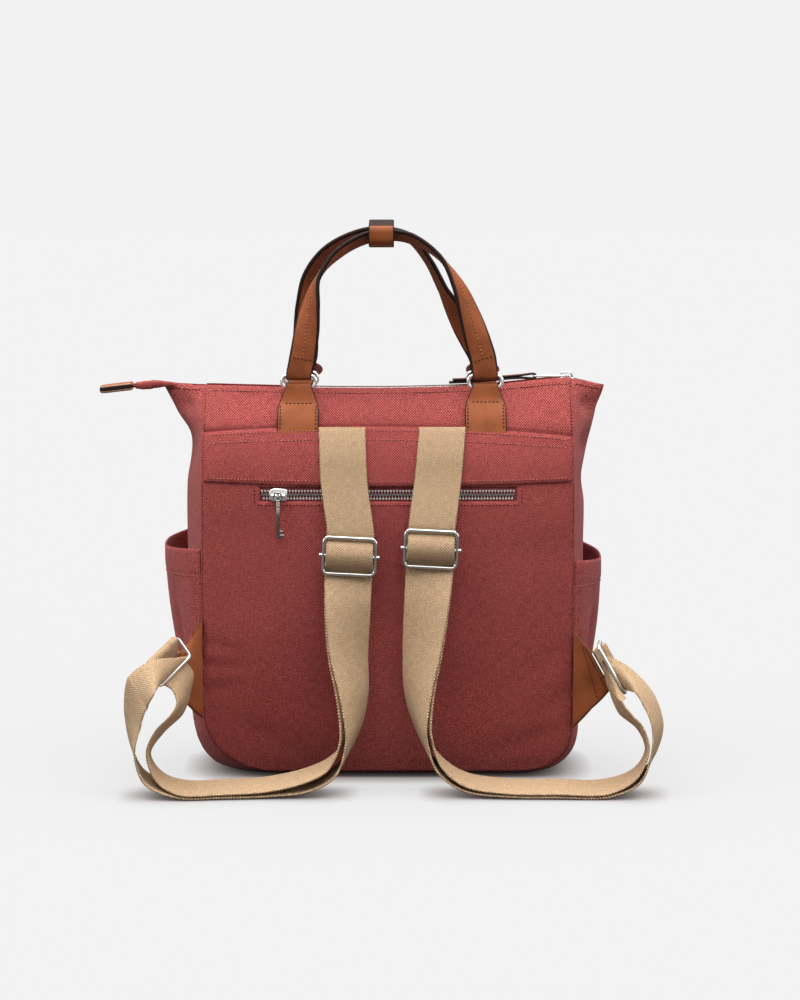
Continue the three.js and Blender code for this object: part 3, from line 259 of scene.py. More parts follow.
STRAP_INNER_LOOP = {
    "left": table(
        LOOP_COLUMNS,
        (166, -89, 88, 66, 13), (164.5, -93, 77, 78, 6), (169, -100, 64, 82, -11),
        (184, -106, 49, 87, -14), (192, -110, 33, 92, -11), (184, -112, 15, 90, 0),
    ),
    "right": table(
        LOOP_COLUMNS,
        (183.5, -88, 85, 58, 30), (184.5, -93, 76, 82, -2), (191, -100, 64, 82, -12),
        (203, -106, 53, 89, -13), (208.5, -110, 36, 92, -10), (199, -112, 17, 92, 0),
    ),
}

# How the webbing sits on the ring's bar: place along the bar and gathered width
STRAP_FOLD = {"left": {"shift": 0, "width": 34}, "right": {"shift": -4.5, "width": 30}}
CORNER_RING = {"long": 44, "wide": 19, "corner": 3, "wire": 1.5}
CORNER_BEND = CORNER_RING["wire"] + GAP + WEBBING / 2
CORNER_RINGS = {
    "left": {"bar": (171.5, -91, 96.5), "along": (-0.49, 0.76, 0.42), "across": (0.54, -0.1, 0.84)},
    "right": {"bar": (181.5, -84, 96), "along": (-0.49, 0, 0.872), "across": (0.15, 0.985, 0.084)},
}
CORNER_LOOP = {"width": 37, "overlap": 2.6, "half_gap": 1.1}
CORNER_TABS = {
    "left": {"low": 52, "high": 135, "end": (175, -77, 104), "end_width": 42},
    "right": {"low": 44, "high": 124, "end": (172, -70, 96), "end_width": 42},
}


# Small helpers on points

def vec(*numbers):
    return np.array(numbers, float)


def unit(v):
    v = np.asarray(v, float)
    return v / np.maximum(np.linalg.norm(v, axis=-1, keepdims=True), 1e-9)


def mix(a, b, t):
    return a + (b - a) * t


def smooth(t):
    t = np.clip(t, 0, 1)
    return t * t * (3 - 2 * t)


def bulge(distance, spread):
    """One at no distance, falling off softly on both sides."""
    return np.exp(-(distance / spread) ** 2)


def even(values, between):
    """Adds steps between the given values so that none is longer than the given length."""
    fine = [values[0]]
    for a, b in zip(values[:-1], values[1:]):
        count = max(1, int(math.ceil((b - a) / between)))
        fine += [a + (b - a) * (k + 1) / count for k in range(count)]
    return np.array(fine)


def run_length(points):
    """Distance along a line at each of its points."""
    return np.concatenate([[0], np.cumsum(np.linalg.norm(np.diff(points, axis=0), axis=1))])


def at_length(where, lengths, values):
    """The row of values at one distance along a line."""
    return np.array([np.interp(where, lengths, values[:, c]) for c in range(3)])


def turn_round(middle, first, second, radius, degrees):
    """Points on a circle that starts at the first direction and turns to the second."""
    return [middle + first * radius * math.cos(math.radians(a)) + second * radius * math.sin(math.radians(a))
            for a in degrees]


def column(rows, place, name):
    """A smooth curve through two columns of a table."""
    xs = np.array([row[place] for row in rows], float)
    ys = np.array([row[name] for row in rows], float)
    last = len(xs) - 1
    before = np.maximum(np.arange(last + 1) - 1, 0)
    after = np.minimum(np.arange(last + 1) + 1, last)
    slopes = (ys[after] - ys[before]) / (xs[after] - xs[before])

    def curve(x):
        x = np.clip(np.asarray(x, float), xs[0], xs[-1])
        i = np.clip(np.searchsorted(xs, x) - 1, 0, last - 1)
        span = xs[i + 1] - xs[i]
        t = (x - xs[i]) / span
        t2 = t * t
        t3 = t2 * t
        return ((2 * t3 - 3 * t2 + 1) * ys[i] + (t3 - 2 * t2 + t) * span * slopes[i]
                + (3 * t2 - 2 * t3) * ys[i + 1] + (t3 - t2) * span * slopes[i + 1])

    return curve


# Shape of the body

half_depth = column(LEVELS, "z", "half_depth")
belly = column(LEVELS, "z", "belly")
roundness = column(LEVELS, "z", "round")
stand_out = {side: column(WALL_REACH[side], "z", "out") for side in SIDES}
top_line = column(TOP_LINE, "x", "z")


def lift(x, z):
    return (top_line(x) - TOP) * np.clip((z - LIFT_FROM) / (TOP - LIFT_FROM), 0, 1)


def seam_x(z, side):
    radius = CORNER[side]
    below = np.maximum(0, FOOT + radius - z)
    return HALF_WIDTH - radius + np.sqrt(np.maximum(0, radius * radius - below * below))


def seam_at(x, z):
    return np.where(np.asarray(x) < 0, seam_x(z, "left"), seam_x(z, "right"))


def panel_point(x, z, facing):
    """Outer face of a panel; facing is -1 for the back and 1 for the front."""
    x, z = np.broadcast_arrays(np.asarray(x, float), np.asarray(z, float))
    u = x / seam_at(x, z)
    y = facing * (half_depth(z) + belly(z) * (1 - u * u))
    return np.stack([x, y, z + lift(x, z)], axis=-1)


def panel_normal(x, z, facing):
    x, z = np.asarray(x, float), np.asarray(z, float)
    across = panel_point(x + 1, z, facing) - panel_point(x - 1, z, facing)
    up = panel_point(x, z + 1, facing) - panel_point(x, z - 1, facing)
    normal = unit(np.cross(across, up))
    return normal * np.where(normal[..., 1:2] * facing > 0, 1, -1)


def off_panel(x, z, facing, distance):
    """A point held off the outer face of a panel."""
    return panel_point(x, z, facing) + panel_normal(x, z, facing) * distance


def fold_depth(rows, x, z):
    depth = np.zeros(np.broadcast(x, z).shape)
    for row in rows:
        c, s = math.cos(math.radians(row["angle"])), math.sin(math.radians(row["angle"]))
        along = (x - row["x"]) * c + (z - row["z"]) * s
        over = (z - row["z"]) * c - (x - row["x"]) * s
        depth += row["depth"] * bulge(along, row["long"]) * bulge(over, row["wide"])
    return depth


def seam_roll(x, z):
    """How far the panel's edge rolls back into its side seam."""
    inside = seam_at(x, z) - np.abs(x)
    return SEAM_ROLL["depth"] * (1 - smooth(inside / SEAM_ROLL["width"]))


def yoke_edge(x, name):
    """Level of the yoke's upper or lower edge."""
    u = x / HALF_WIDTH
    if name == "top":
        return YOKE["top"] - YOKE["top_drop"] * u * u + YOKE["top_slant"] * u
    return YOKE["low"] + YOKE["low_rise"] * u * u


def yoke_tuck(x, z):
    """The panel dips into the yoke's upper seam and puffs out a little above it."""
    above = z - yoke_edge(x, "top")
    return 1.5 * bulge(above - 1, 1.7) - 0.9 * bulge(above - 9, 5.0)


def dressed_panel_point(x, z, facing):
    """Outer face of a panel with its folds, rolled seams and the tuck at the yoke."""
    x, z = np.broadcast_arrays(np.asarray(x, float), np.asarray(z, float))
    depth = fold_depth(FOLDS["back" if facing == BACK else "front"], x, z) + seam_roll(x, z)
    if facing == BACK:
        depth = depth + yoke_tuck(x, z)
    point = panel_point(x, z, facing)
    point[..., 1] -= facing * depth
    return point


def wall_half(z):
    """Half the depth of a side wall, which lies just inside the two panels."""
    slope = (half_depth(z + 1) - half_depth(z - 1)) / 2
    return half_depth(z) - (CANVAS + GAP) * np.hypot(1, slope)


def wall_station(z, side):
    """One row of a side wall: its place on the seam, the way it bulges and how far."""
    sign, radius, x = SIGN[side], CORNER[side], float(seam_x(z, side))
    outward = sign * RIGHT
    if z < FOOT + radius:
        outward = vec(sign * (x - HALF_WIDTH + radius), 0, z - FOOT - radius) / radius
    flat = mix(BASE_FLAT, 1, np.clip((z - FOOT) / radius, 0, 1))
    out = float(stand_out[side](z))
    return {"x": sign * x, "z": z, "outward": outward, "out": out, "flat": flat, "side": side}


def wall_stations(levels, base_steps):
    """Rows of the side walls and base along the seam, upper left round to upper right."""
    left = [wall_station(z, "left") for z in levels[::-1]]
    right = [wall_station(z, "right") for z in levels]
    base = [{"x": mix(left[-1]["x"], right[0]["x"], i / base_steps), "z": FOOT, "outward": -UP,
             "out": FOOT, "flat": BASE_FLAT, "side": None} for i in range(1, base_steps)]
    return left + base + right


def wall_point(station, t):
    """Outer face of the side wall; t runs from the back seam (-1) to the front seam (1)."""
    z = station["z"]
    swell = np.minimum(1, station["flat"] * (1 - np.abs(t) ** roundness(z)))
    dent = np.zeros(t.shape)
    for row in DENTS.get(station["side"], ()):
        place = row["t"] + row["lean"] * (z - row["z"])
        dent += row["depth"] * bulge(z - row["z"], row["tall"]) * bulge(t - place, row["wide"])
    point = np.stack([np.full(t.shape, station["x"]), t * wall_half(z), np.full(t.shape, z)], axis=-1)
    point += station["outward"] * (station["out"] * swell - dent * (1 - t * t))[..., None]
    point[..., 2] += lift(point[..., 0], z)
    return point


def pocket_point(side, rise, t):
    """Outer face of a side pocket; rise runs from its foot (0) to its rim (1)."""
    size = POCKETS[side]
    rim = size["rim"] + POCKET_RIM_CURVE * t * t + size["rise"] * (t + 1) / 2
    z = mix(size["foot"], rim, rise)
    swell = 1 - np.abs(t) ** roundness(z)
    bag = size["off"] * math.sin(rise * math.pi / 2) ** 0.9 * (1 - t * t) ** 0.8
    x = SIGN[side] * (seam_x(z, side) + stand_out[side](z) * swell + GAP + 1.3 * CANVAS + bag)
    return np.stack([x, t * wall_half(z), z + lift(x, z)], axis=-1)


# Mesh making

def new_object(name, shape, materials, uvs=None, indices=None, sharp=50.0):
    """A mesh object from points in millimetres and faces, with UVs in metres."""
    verts, faces = shape
    mesh = bpy.data.meshes.new(name)
    mesh.from_pydata((np.asarray(verts, float) * MM).tolist(), [], [list(map(int, face)) for face in faces])
    for material in materials:
        mesh.materials.append(material)
    if indices is not None:
        mesh.polygons.foreach_set("material_index", np.asarray(indices, np.int32))
    if uvs is not None:
        layer = mesh.uv_layers.new(name="UVMap")
        loops = np.empty(len(mesh.loops), np.int32)
        mesh.loops.foreach_get("vertex_index", loops)
        layer.data.foreach_set("uv", np.asarray(uvs, np.float32)[loops].ravel())
    mesh.validate()
    mesh.shade_smooth()
    mesh.set_sharp_from_angle(angle=math.radians(sharp))
    obj = bpy.data.objects.new(name, mesh)
    bpy.context.scene.collection.objects.link(obj)
    return obj


def place(obj, slot, *nodes, body=BAG):
    """Fastens a finished piece to its body and hides the CAD parts of the nodes it stands for."""
    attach(obj, body)
    if nodes:
        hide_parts(*nodes)


def skin(rings, sides):
    """Faces over stacked rings of points, with both ends closed."""
    faces = []
    for r in range(rings - 1):
        for k in range(sides):
            a, b = r * sides + k, r * sides + (k + 1) % sides
            faces.append((a, b, b + sides, a + sides))
    return faces + [tuple(range(sides))[::-1], tuple(range((rings - 1) * sides, rings * sides))]


def merged(*shapes):
    verts, faces, start = [], [], 0
    for points, polygons in shapes:
        verts.append(np.asarray(points, float))
        faces += [tuple(i + start for i in face) for face in polygons]
        start += len(points)
    return np.concatenate(verts), faces


RIM_ROUND = 0.45                # how far a sheet's rim bulges, as a share of its thickness


def sheet(name, outer, thickness, uv, material, away, keep=None):
    """A cloth sheet of some thickness behind its outer grid, with rounded rims."""
    rows, cols = outer.shape[:2]
    count = rows * cols
    normals = unit(np.cross(np.gradient(outer, axis=1), np.gradient(outer, axis=0)))
    normals = normals * np.where((normals * away).sum(-1, keepdims=True) < 0, -1, 1)
    front, normals = outer.reshape(-1, 3), normals.reshape(-1, 3)
    back = front - normals * thickness
    index = np.arange(count).reshape(rows, cols)
    quads = np.stack([index[:-1, :-1], index[:-1, 1:], index[1:, 1:], index[1:, :-1]], axis=-1)
    quads = quads.reshape(-1, 4) if keep is None else quads[keep]
    a, b, d = front[quads[0][[0, 1, 3]]]
    if np.dot(np.cross(b - a, d - a), normals[quads[0][0]]) < 0:
        quads = quads[:, ::-1]
    edges = {}
    for quad in quads.tolist():
        for start, end in zip(quad, quad[1:] + quad[:1]):
            if edges.pop((end, start), None) is None:
                edges[(start, end)] = True
    out = np.zeros((count, 3))
    for start, end in edges:
        outward = unit(np.cross(front[end] - front[start], normals[start]))
        out[start] += outward
        out[end] += outward
    rim = (front + back) / 2 + unit(out) * thickness * RIM_ROUND
    faces = quads.tolist() + (quads[:, ::-1] + count).tolist()
    for start, end in edges:
        faces.append((end, start, start + 2 * count, end + 2 * count))
        faces.append((end + 2 * count, start + 2 * count, start + count, end + count))
    used, faces = np.unique(np.array(faces), return_inverse=True)
    verts = np.concatenate([front, back, rim])[used]
    uvs = np.tile(uv.reshape(-1, 2), (3, 1))[used] * MM
    return new_object(name, (verts, faces.reshape(-1, 4)), [material], uvs, sharp=60)


def spline(points, places):
    """Centripetal curve through points, at fractional places, with its direction."""
    padded = np.vstack([2 * points[0] - points[1], points, 2 * points[-1] - points[-2]])
    i = np.minimum(places.astype(int), len(points) - 2)
    t = (places - i)[:, None]
    p0, p1, p2, p3 = (padded[i + k] for k in range(4))
    d0, d1, d2 = (np.maximum(np.linalg.norm(b - a, axis=1, keepdims=True), 1e-4) ** 0.5
                  for a, b in ((p0, p1), (p1, p2), (p2, p3)))
    m1 = ((p1 - p0) / d0 - (p2 - p0) / (d0 + d1) + (p2 - p1) / d1) * d1
    m2 = ((p2 - p1) / d1 - (p3 - p1) / (d1 + d2) + (p3 - p2) / d2) * d1
    c2 = -3 * p1 + 3 * p2 - 2 * m1 - m2
    c3 = 2 * p1 - 2 * p2 + m1 + m2
    at = p1 + m1 * t + c2 * t ** 2 + c3 * t ** 3
    along = m1 + 2 * c2 * t + 3 * c3 * t ** 2
    return at, unit(along)


WAVE_PITCH = 2.4                # length of one ripple along the webbing's edge


class Ribbon:
    """A strap through points, with a direction across it, a width and a thickness at each of them."""

    def __init__(self, points, across, width, thick, step):
        points = np.asarray(points, float)
        last = len(points) - 1
        places = []
        for i, gap in enumerate(np.linalg.norm(np.diff(points, axis=0), axis=1)):
            count = max(2, int(round(gap / step)))
            places.extend(i + k / count for k in range(count))
        places = np.array(places + [float(last)])
        first = np.minimum(places.astype(int), last - 1)

        def between(values):
            t = (places - first).reshape(-1, *[1] * (values.ndim - 1))
            return mix(values[first], values[first + 1], t)

        self.middle, self.along = spline(points, places)
        self.across = unit(between(np.broadcast_to(across, points.shape)))
        self.normal = unit(np.cross(self.along, self.across))
        self.half = between(np.broadcast_to(width, last + 1)) / 2
        self.thick = between(np.broadcast_to(thick, last + 1))
        self.length = run_length(self.middle)

    def place_of(self, point):
        """Length along the ribbon of the sample nearest to a point."""
        return self.length[np.argmin(np.linalg.norm(self.middle - point, axis=1))]

    def line(self, offset, start, end, face, lift_off=0.0):
        """Points and normals along the ribbon at a fixed distance from its middle."""
        pick = (self.length >= start) & (self.length <= end)
        normal = self.normal[pick] * face
        height = self.thick[pick, None] / 2 + lift_off
        return self.middle[pick] + self.across[pick] * offset + normal * height, normal

    def cross(self, at, face, margin):
        """Points and the normal of a row across the ribbon at one length."""
        i = int(np.argmin(np.abs(self.length - at)))
        reach = np.linspace(-1, 1, 24)[:, None] * (self.half[i] - margin)
        normal = self.normal[i] * face
        return self.middle[i] + self.across[i] * reach + normal * self.thick[i] / 2, normal

    def build(self, name, materials, columns, crown=0.0, wave=0.0):
        """The solid strap: faces take the first material, the rounded edges the last one."""
        flat = np.linspace(-1, 1, columns + 1)
        top = 1 + crown * (1 - flat * flat)
        arc = np.radians(np.linspace(90, -90, 7))[1:-1]
        level, full = np.zeros(len(flat)), np.ones(len(arc))
        spread = np.concatenate([flat, full, flat[::-1], -full])
        cap = np.concatenate([level, np.cos(arc), level, -np.cos(arc)])
        high = np.concatenate([top, np.sin(arc), -top, -np.sin(arc)])
        count, ring = len(self.middle), len(spread)
        radius = np.minimum(self.thick / 2, self.half)
        ripple = wave * np.sin(2 * math.pi * self.length / WAVE_PITCH)
        reach = np.outer(self.half + ripple - radius, spread) + np.outer(radius, cap)
        rise = np.outer(self.thick / 2, high)
        verts = (self.middle[:, None] + self.across[:, None] * reach[..., None]
                 + self.normal[:, None] * rise[..., None]).reshape(-1, 3)
        uvs = np.stack([reach, np.repeat(self.length[:, None], ring, axis=1)], axis=-1).reshape(-1, 2) * MM
        edge = cap != 0
        on_edge = np.append(np.tile(edge | np.roll(edge, -1), count - 1), [True, True])
        indices = on_edge * (len(materials) - 1)
        return new_object(name, (verts, skin(count, ring)), materials, uvs, indices, sharp=70)


def tube(path, radius, closed, sides=14):
    """Points and faces of a round wire along a path."""
    path = np.asarray(path, float)
    count = len(path)
    if closed:
        along = unit(np.roll(path, -1, axis=0) - np.roll(path, 1, axis=0))
    else:
        along = unit(np.gradient(path, axis=0))
    side = vec(0.31, 0.53, 0.79)
    normals = []
    for direction in along:
        side = unit(side - direction * np.dot(side, direction))
        normals.append(side)
    normals = np.array(normals)[:, None]
    binormals = np.cross(along, normals[:, 0])[:, None]
    angles = np.linspace(0, 2 * math.pi, sides, endpoint=False)[None, :, None]
    radius = np.broadcast_to(np.asarray(radius, float), (count,))[:, None, None]
    verts = path[:, None] + (normals * np.cos(angles) + binormals * np.sin(angles)) * radius
    faces = []
    for i in range(count if closed else count - 1):
        here, there = i * sides, (i + 1) % count * sides
        for k in range(sides):
            after = (k + 1) % sides
            faces.append((here + k, there + k, there + after, here + after))
    if not closed:
        faces += [tuple(range(sides)), tuple(range((count - 1) * sides, count * sides))[::-1]]
    return verts.reshape(-1, 3), faces


ROD_BEVEL = 0.35
ROD_END = ((0, 1), (0.3, 0.3), (1, 0))      # shares of the bevel: way along the rod and way in from its side


def rod(start, end, radius):
    """A round bar with softened ends."""
    along = unit(end - start) * ROD_BEVEL
    path = [start + along * way for way, _ in ROD_END] + [end - along * way for way, _ in ROD_END[::-1]]
    radii = [radius - ROD_BEVEL * inset for _, inset in ROD_END]
    return tube(path, np.array(radii + radii[::-1]), False, 16)


def block(low, high, bevel):
    """A box with chamfered edges, as points and faces of stacked sections along Z."""
    verts = []
    for z, inset in ((low[2], bevel), (low[2] + bevel, 0), (high[2] - bevel, 0), (high[2], bevel)):
        x0, x1, y0, y1 = low[0] + inset, high[0] - inset, low[1] + inset, high[1] - inset
        verts += [(x0 + bevel, y0, z), (x1 - bevel, y0, z), (x1, y0 + bevel, z), (x1, y1 - bevel, z),
                  (x1 - bevel, y1, z), (x0 + bevel, y1, z), (x0, y1 - bevel, z), (x0, y0 + bevel, z)]
    return np.array(verts), skin(4, 8)


def rounded_path(middle, right, up, wide, tall, corner):
    """Points along a rounded rectangle in the plane of two directions."""
    path = []
    for sx, sy, start in ((1, 1, 0), (-1, 1, 90), (-1, -1, 180), (1, -1, 270)):
        centre = middle + right * sx * (wide / 2 - corner) + up * sy * (tall / 2 - corner)
        path += turn_round(centre, right, up, corner, np.linspace(start, start + 90, 9))
    fine = []
    for here, there in zip(path, path[1:] + path[:1]):
        count = 6 if np.linalg.norm(there - here) > 3 else 1
        fine += [mix(here, there, k / count) for k in range(count)]
    return np.array(fine)


# Materials

class Nodes:
    """Short names for building a node tree."""

    def __init__(self, tree):
        self.tree = tree

    def add(self, kind, **values):
        node = self.tree.nodes.new(kind)
        for key, value in values.items():
            setattr(node, key, value)
        return node

    def link(self, source, target):
        self.tree.links.new(source, target)

    def set(self, socket, value):
        if hasattr(value, "is_output"):
            self.link(value, socket)
        else:
            socket.default_value = value

    def math(self, operation, a, b=0.0):
        node = self.add("ShaderNodeMath", operation=operation)
        self.set(node.inputs[0], a)
        self.set(node.inputs[1], b)
        return node.outputs[0]

    def uv(self):
        return self.add("ShaderNodeUVMap", uv_map="UVMap").outputs["UV"]

    def position(self):
        return self.add("ShaderNodeTexCoord").outputs["Object"]

    def scaled(self, vector, scale):
        node = self.add("ShaderNodeMapping")
        self.link(vector, node.inputs["Vector"])
        node.inputs["Scale"].default_value = scale
        return node.outputs["Vector"]

    def noise(self, vector, scale=1.0, detail=2.0, rough=0.5):
        node = self.add("ShaderNodeTexNoise")
        self.link(vector, node.inputs["Vector"])
        node.inputs["Scale"].default_value = scale
        node.inputs["Detail"].default_value = detail
        node.inputs["Roughness"].default_value = rough
        return node.outputs["Fac"]

    def ramp(self, value, *stops):
        """Colour by value; a stop's colour may be one grey level."""
        node = self.add("ShaderNodeValToRGB")
        self.link(value, node.inputs["Fac"])
        elements = node.color_ramp.elements
        while len(elements) < len(stops):
            elements.new(0.5)
        for element, (position, color) in zip(elements, stops):
            element.position = position
            element.color = (*(color if isinstance(color, tuple) else (color,) * 3), 1)
        return node.outputs["Color"]

    def blend(self, factor, a, b, mode="MIX"):
        node = self.add("ShaderNodeMix", data_type="RGBA", blend_type=mode)
        self.set(node.inputs["Factor"], factor)
        self.set(node.inputs[6], a if hasattr(a, "is_output") else (*a, 1))
        self.set(node.inputs[7], b if hasattr(b, "is_output") else (*b, 1))
        return node.outputs[2]

    def bump(self, height, strength, distance, shader):
        node = self.add("ShaderNodeBump")
        self.link(height, node.inputs["Height"])
        node.inputs["Strength"].default_value = strength
        node.inputs["Distance"].default_value = distance
        self.link(node.outputs["Normal"], shader.inputs["Normal"])


def node_material(name, color, roughness, metallic=0.0, sheen=0.0, specular=0.5):
    material = bpy.data.materials.new(name)
    material.use_nodes = True
    shader = material.node_tree.nodes["Principled BSDF"]
    shader.inputs["Base Color"].default_value = (*color, 1)
    shader.inputs["Roughness"].default_value = roughness
    shader.inputs["Metallic"].default_value = metallic
    shader.inputs["Sheen Weight"].default_value = sheen
    shader.inputs["Specular IOR Level"].default_value = specular
    return material, Nodes(material.node_tree), shader


def times(color, share, more=0.0):
    return tuple(min(1, c * share + more) for c in color)


def weave_height(n, uv, pitch_u, pitch_v):
    """Plain weave: threads cross over and under by turns."""
    split = n.add("ShaderNodeSeparateXYZ")
    n.link(uv, split.inputs[0])
    wave_u = n.math("SINE", n.math("MULTIPLY", split.outputs[0], math.pi / pitch_u))
    wave_v = n.math("SINE", n.math("MULTIPLY", split.outputs[1], math.pi / pitch_v))
    return n.math("MULTIPLY", wave_u, wave_v)


FIBRES_PER_METRE = 1350
YARNS_PER_METRE = (1000, 170)


def cloth_level(n, uv, pitch_u, pitch_v, weave_share, fibre_share, slub_share):
    """Light and dark of woven threads: weave, loose fibres and thicker lengths of yarn, about 0.5."""
    weave = weave_height(n, uv, pitch_u, pitch_v)
    fibre = n.noise(n.scaled(uv, (FIBRES_PER_METRE, FIBRES_PER_METRE, 1)), rough=0.6)
    warp = n.noise(n.scaled(uv, (*YARNS_PER_METRE, 1)), detail=1.0)
    weft = n.noise(n.scaled(uv, (*YARNS_PER_METRE[::-1], 1)), detail=1.0)
    slub = n.math("MULTIPLY", n.math("SUBTRACT", n.math("ADD", warp, weft), 1.0), slub_share)
    level = n.math("ADD", n.math("MULTIPLY", weave, weave_share), slub)
    level = n.math("ADD", level, n.math("MULTIPLY", n.math("SUBTRACT", fibre, 0.5), fibre_share))
    return n.math("ADD", level, 0.5), weave


def cloth_color(n, level, base, dark, light):
    return n.ramp(level, (0.15, times(base, dark)), (0.5, base), (0.85, times(base, light, 0.03)))


CANVAS_PITCH = 0.00102
WEBBING_PITCH = (0.0013, 0.0010)


def canvas_material(name, base, weave_share, sheen):
    material, n, shader = node_material(name, base, 0.95, sheen=sheen, specular=0.05)
    shader.inputs["Sheen Roughness"].default_value = 0.6
    level, weave = cloth_level(n, n.uv(), CANVAS_PITCH, CANVAS_PITCH, weave_share, 1.6, 0.35)
    color = cloth_color(n, level, base, 0.28, 1.88)
    wear = n.ramp(n.noise(n.position(), 9.0, 3.0, 0.55), (0.35, (0.93, 0.92, 0.92)), (0.65, 1.05))
    n.link(n.blend(1.0, color, wear, "MULTIPLY"), shader.inputs["Base Color"])
    n.bump(n.math("ADD", n.math("MULTIPLY", weave, 0.3), level), 0.55, 0.0004, shader)
    return material


def webbing_material(name, base):
    material, n, shader = node_material(name, base, 0.8, sheen=0.05, specular=0.15)
    level, weave = cloth_level(n, n.uv(), *WEBBING_PITCH, 0.2, 1.3, 0.35)
    n.link(cloth_color(n, level, base, 0.45, 1.55), shader.inputs["Base Color"])
    n.bump(n.math("ADD", n.math("MULTIPLY", weave, 0.4), level), 0.5, 0.0004, shader)
    return material


def leather_material(name, base, roughness):
    """Leather with fine pores, cloudy colour and a slightly uneven shine."""
    material, n, shader = node_material(name, base, roughness, specular=0.12)
    position = n.position()
    pores = n.add("ShaderNodeTexVoronoi", feature="DISTANCE_TO_EDGE")
    n.link(position, pores.inputs["Vector"])
    pores.inputs["Scale"].default_value = 950.0
    grain = n.ramp(pores.outputs["Distance"], (0.0, 0), (0.12, 1))
    cloud = n.noise(position, 45.0, 4.0, 0.6)
    fine = n.noise(position, 900.0, 2.0, 0.6)
    color = n.ramp(cloud, (0.3, times(base, 0.72)), (0.52, base), (0.75, times(base, 1.22)))
    speckle = n.ramp(fine, (0.35, (0.72, 0.68, 0.66)), (0.65, 1.1))
    n.link(n.blend(0.25, color, speckle, "MULTIPLY"), shader.inputs["Base Color"])
    n.link(n.ramp(cloud, (0.3, roughness - 0.08), (0.7, roughness + 0.1)), shader.inputs["Roughness"])
    n.bump(n.math("ADD", n.math("MULTIPLY", grain, 0.5), fine), 0.22, 0.00025, shader)
    return material


def plain_material(name, base, roughness, metallic, spread, scale, bump, specular):
    """Painted edges, thread and metal: one colour with fine variation and a faint relief."""
    material, n, shader = node_material(name, base, roughness, metallic, specular=specular)
    position = n.position()
    cloud = n.noise(position, scale, 3.0, 0.55)
    color = n.ramp(cloud, (0.35, times(base, 1 - spread)), (0.65, times(base, 1 + spread)))
    n.link(color, shader.inputs["Base Color"])
    uneven = n.ramp(n.noise(position, scale * 2.5), (0.35, roughness * 0.85), (0.65, roughness * 1.15))
    n.link(uneven, shader.inputs["Roughness"])
    n.bump(n.noise(position, scale * 6), bump, 0.0002, shader)
    return material


def tape_material(name, base):
    material, n, shader = node_material(name, base, 0.85, sheen=0.04, specular=0.1)
    uv = n.uv()
    cloud = n.noise(n.scaled(uv, (300, 900, 1)))
    n.link(n.ramp(cloud, (0.35, times(base, 0.7)), (0.65, times(base, 1.25))), shader.inputs["Base Color"])
    n.bump(n.math("ADD", weave_height(n, uv, 0.0022, 0.0008), cloud), 0.4, 0.0003, shader)
    return material


CANVAS_COLOR = (0.285, 0.053, 0.047)
LEATHERS = table(
    "name base roughness",
    ("leather", (0.28, 0.079, 0.028), 0.5),
    ("leather_raw", (0.16, 0.045, 0.018), 0.7),
    # dark leather for the keeper's cut edges, and painted shade on the keeper's top
    ("leather_back", (0.035, 0.02, 0.016), 0.8),
    ("leather_pale", (0.5, 0.3, 0.2), 0.6),
    # reddish leather of the handle patches, made darker as painted shade
    ("leather_red", (0.2, 0.06, 0.05), 0.5),
)
PLAIN_LOOKS = table(
    "name base roughness metallic spread scale bump specular",
    ("edge_paint", (0.022, 0.013, 0.011), 0.5, 0.0, 0.15, 160, 0.15, 0.12),
    ("nickel", (0.86, 0.85, 0.83), 0.2, 0.7, 0.05, 90, 0.02, 0.5),
    ("nickel_mid", (0.55, 0.54, 0.52), 0.15, 0.9, 0.05, 90, 0.02, 0.5),
    ("nickel_dark", (0.3, 0.29, 0.275), 0.16, 1.0, 0.05, 90, 0.02, 0.5),
    # darker copy of the tooth metal: painted shade on the middle of the pocket zip's teeth
    ("zip_teeth_dark", (0.5, 0.49, 0.47), 0.3, 1.0, 0.1, 400, 0.03, 0.5),
    ("zip_teeth", (0.85, 0.84, 0.82), 0.3, 0.6, 0.1, 400, 0.03, 0.5),
    ("thread_red", (0.085, 0.017, 0.017), 0.8, 0.0, 0.3, 700, 0.3, 0.05),
    ("thread_rose", (0.42, 0.128, 0.115), 0.8, 0.0, 0.3, 700, 0.3, 0.06),
    ("thread_brown", (0.07, 0.021, 0.012), 0.75, 0.0, 0.3, 700, 0.3, 0.2),
    ("thread_tan", (0.42, 0.17, 0.07), 0.75, 0.0, 0.3, 700, 0.3, 0.2),
)
canvas = canvas_material("canvas", CANVAS_COLOR, weave_share=0.32, sheen=0.05)
canvas_side = canvas_material("canvas_side", CANVAS_COLOR, weave_share=0.1, sheen=0.1)
webbing = webbing_material("webbing", (0.42, 0.28, 0.163))
zip_tape = tape_material("zip_tape", (0.13, 0.026, 0.026))
pocket_tape = tape_material("pocket_tape", (0.24, 0.055, 0.05))
look = {row["name"]: leather_material(**row) for row in LEATHERS}
look.update((row["name"], plain_material(**row)) for row in PLAIN_LOOKS)
leather, edge_paint, nickel = look["leather"], look["edge_paint"], look["nickel"]


# Stitches, collected for each thread and built as one piece at the end

stitches = {"red": [], "rose": [], "brown": [], "tan": []}
# light threads get short stitches of a dark thread between them, as painted shade in the needle holes
NEEDLE_HOLE_SHADE = {"rose": "red", "tan": "brown"}
ROW_END = 0.8                   # bare length at both ends of a row
HOLE_SHADE_HALF = 0.4
LEATHER_STITCH = {"pitch": 3.3, "length": 2.0, "radius": 0.55}
HANDLE_STITCH = {"pitch": 3.2, "length": 1.8, "radius": 0.5}
KEEPER_STITCH = {"pitch": 2.6, "length": 1.7, "radius": 0.4}
CORNER_STITCH = {"pitch": 2.8, "length": 1.9, "radius": 0.42}
# long overlapping dashes of dark thread make one continuous line: painted shade in the seam's groove
SEAM_SHADE_LINE = {"pitch": 4.0, "length": 4.4, "radius": 0.3}


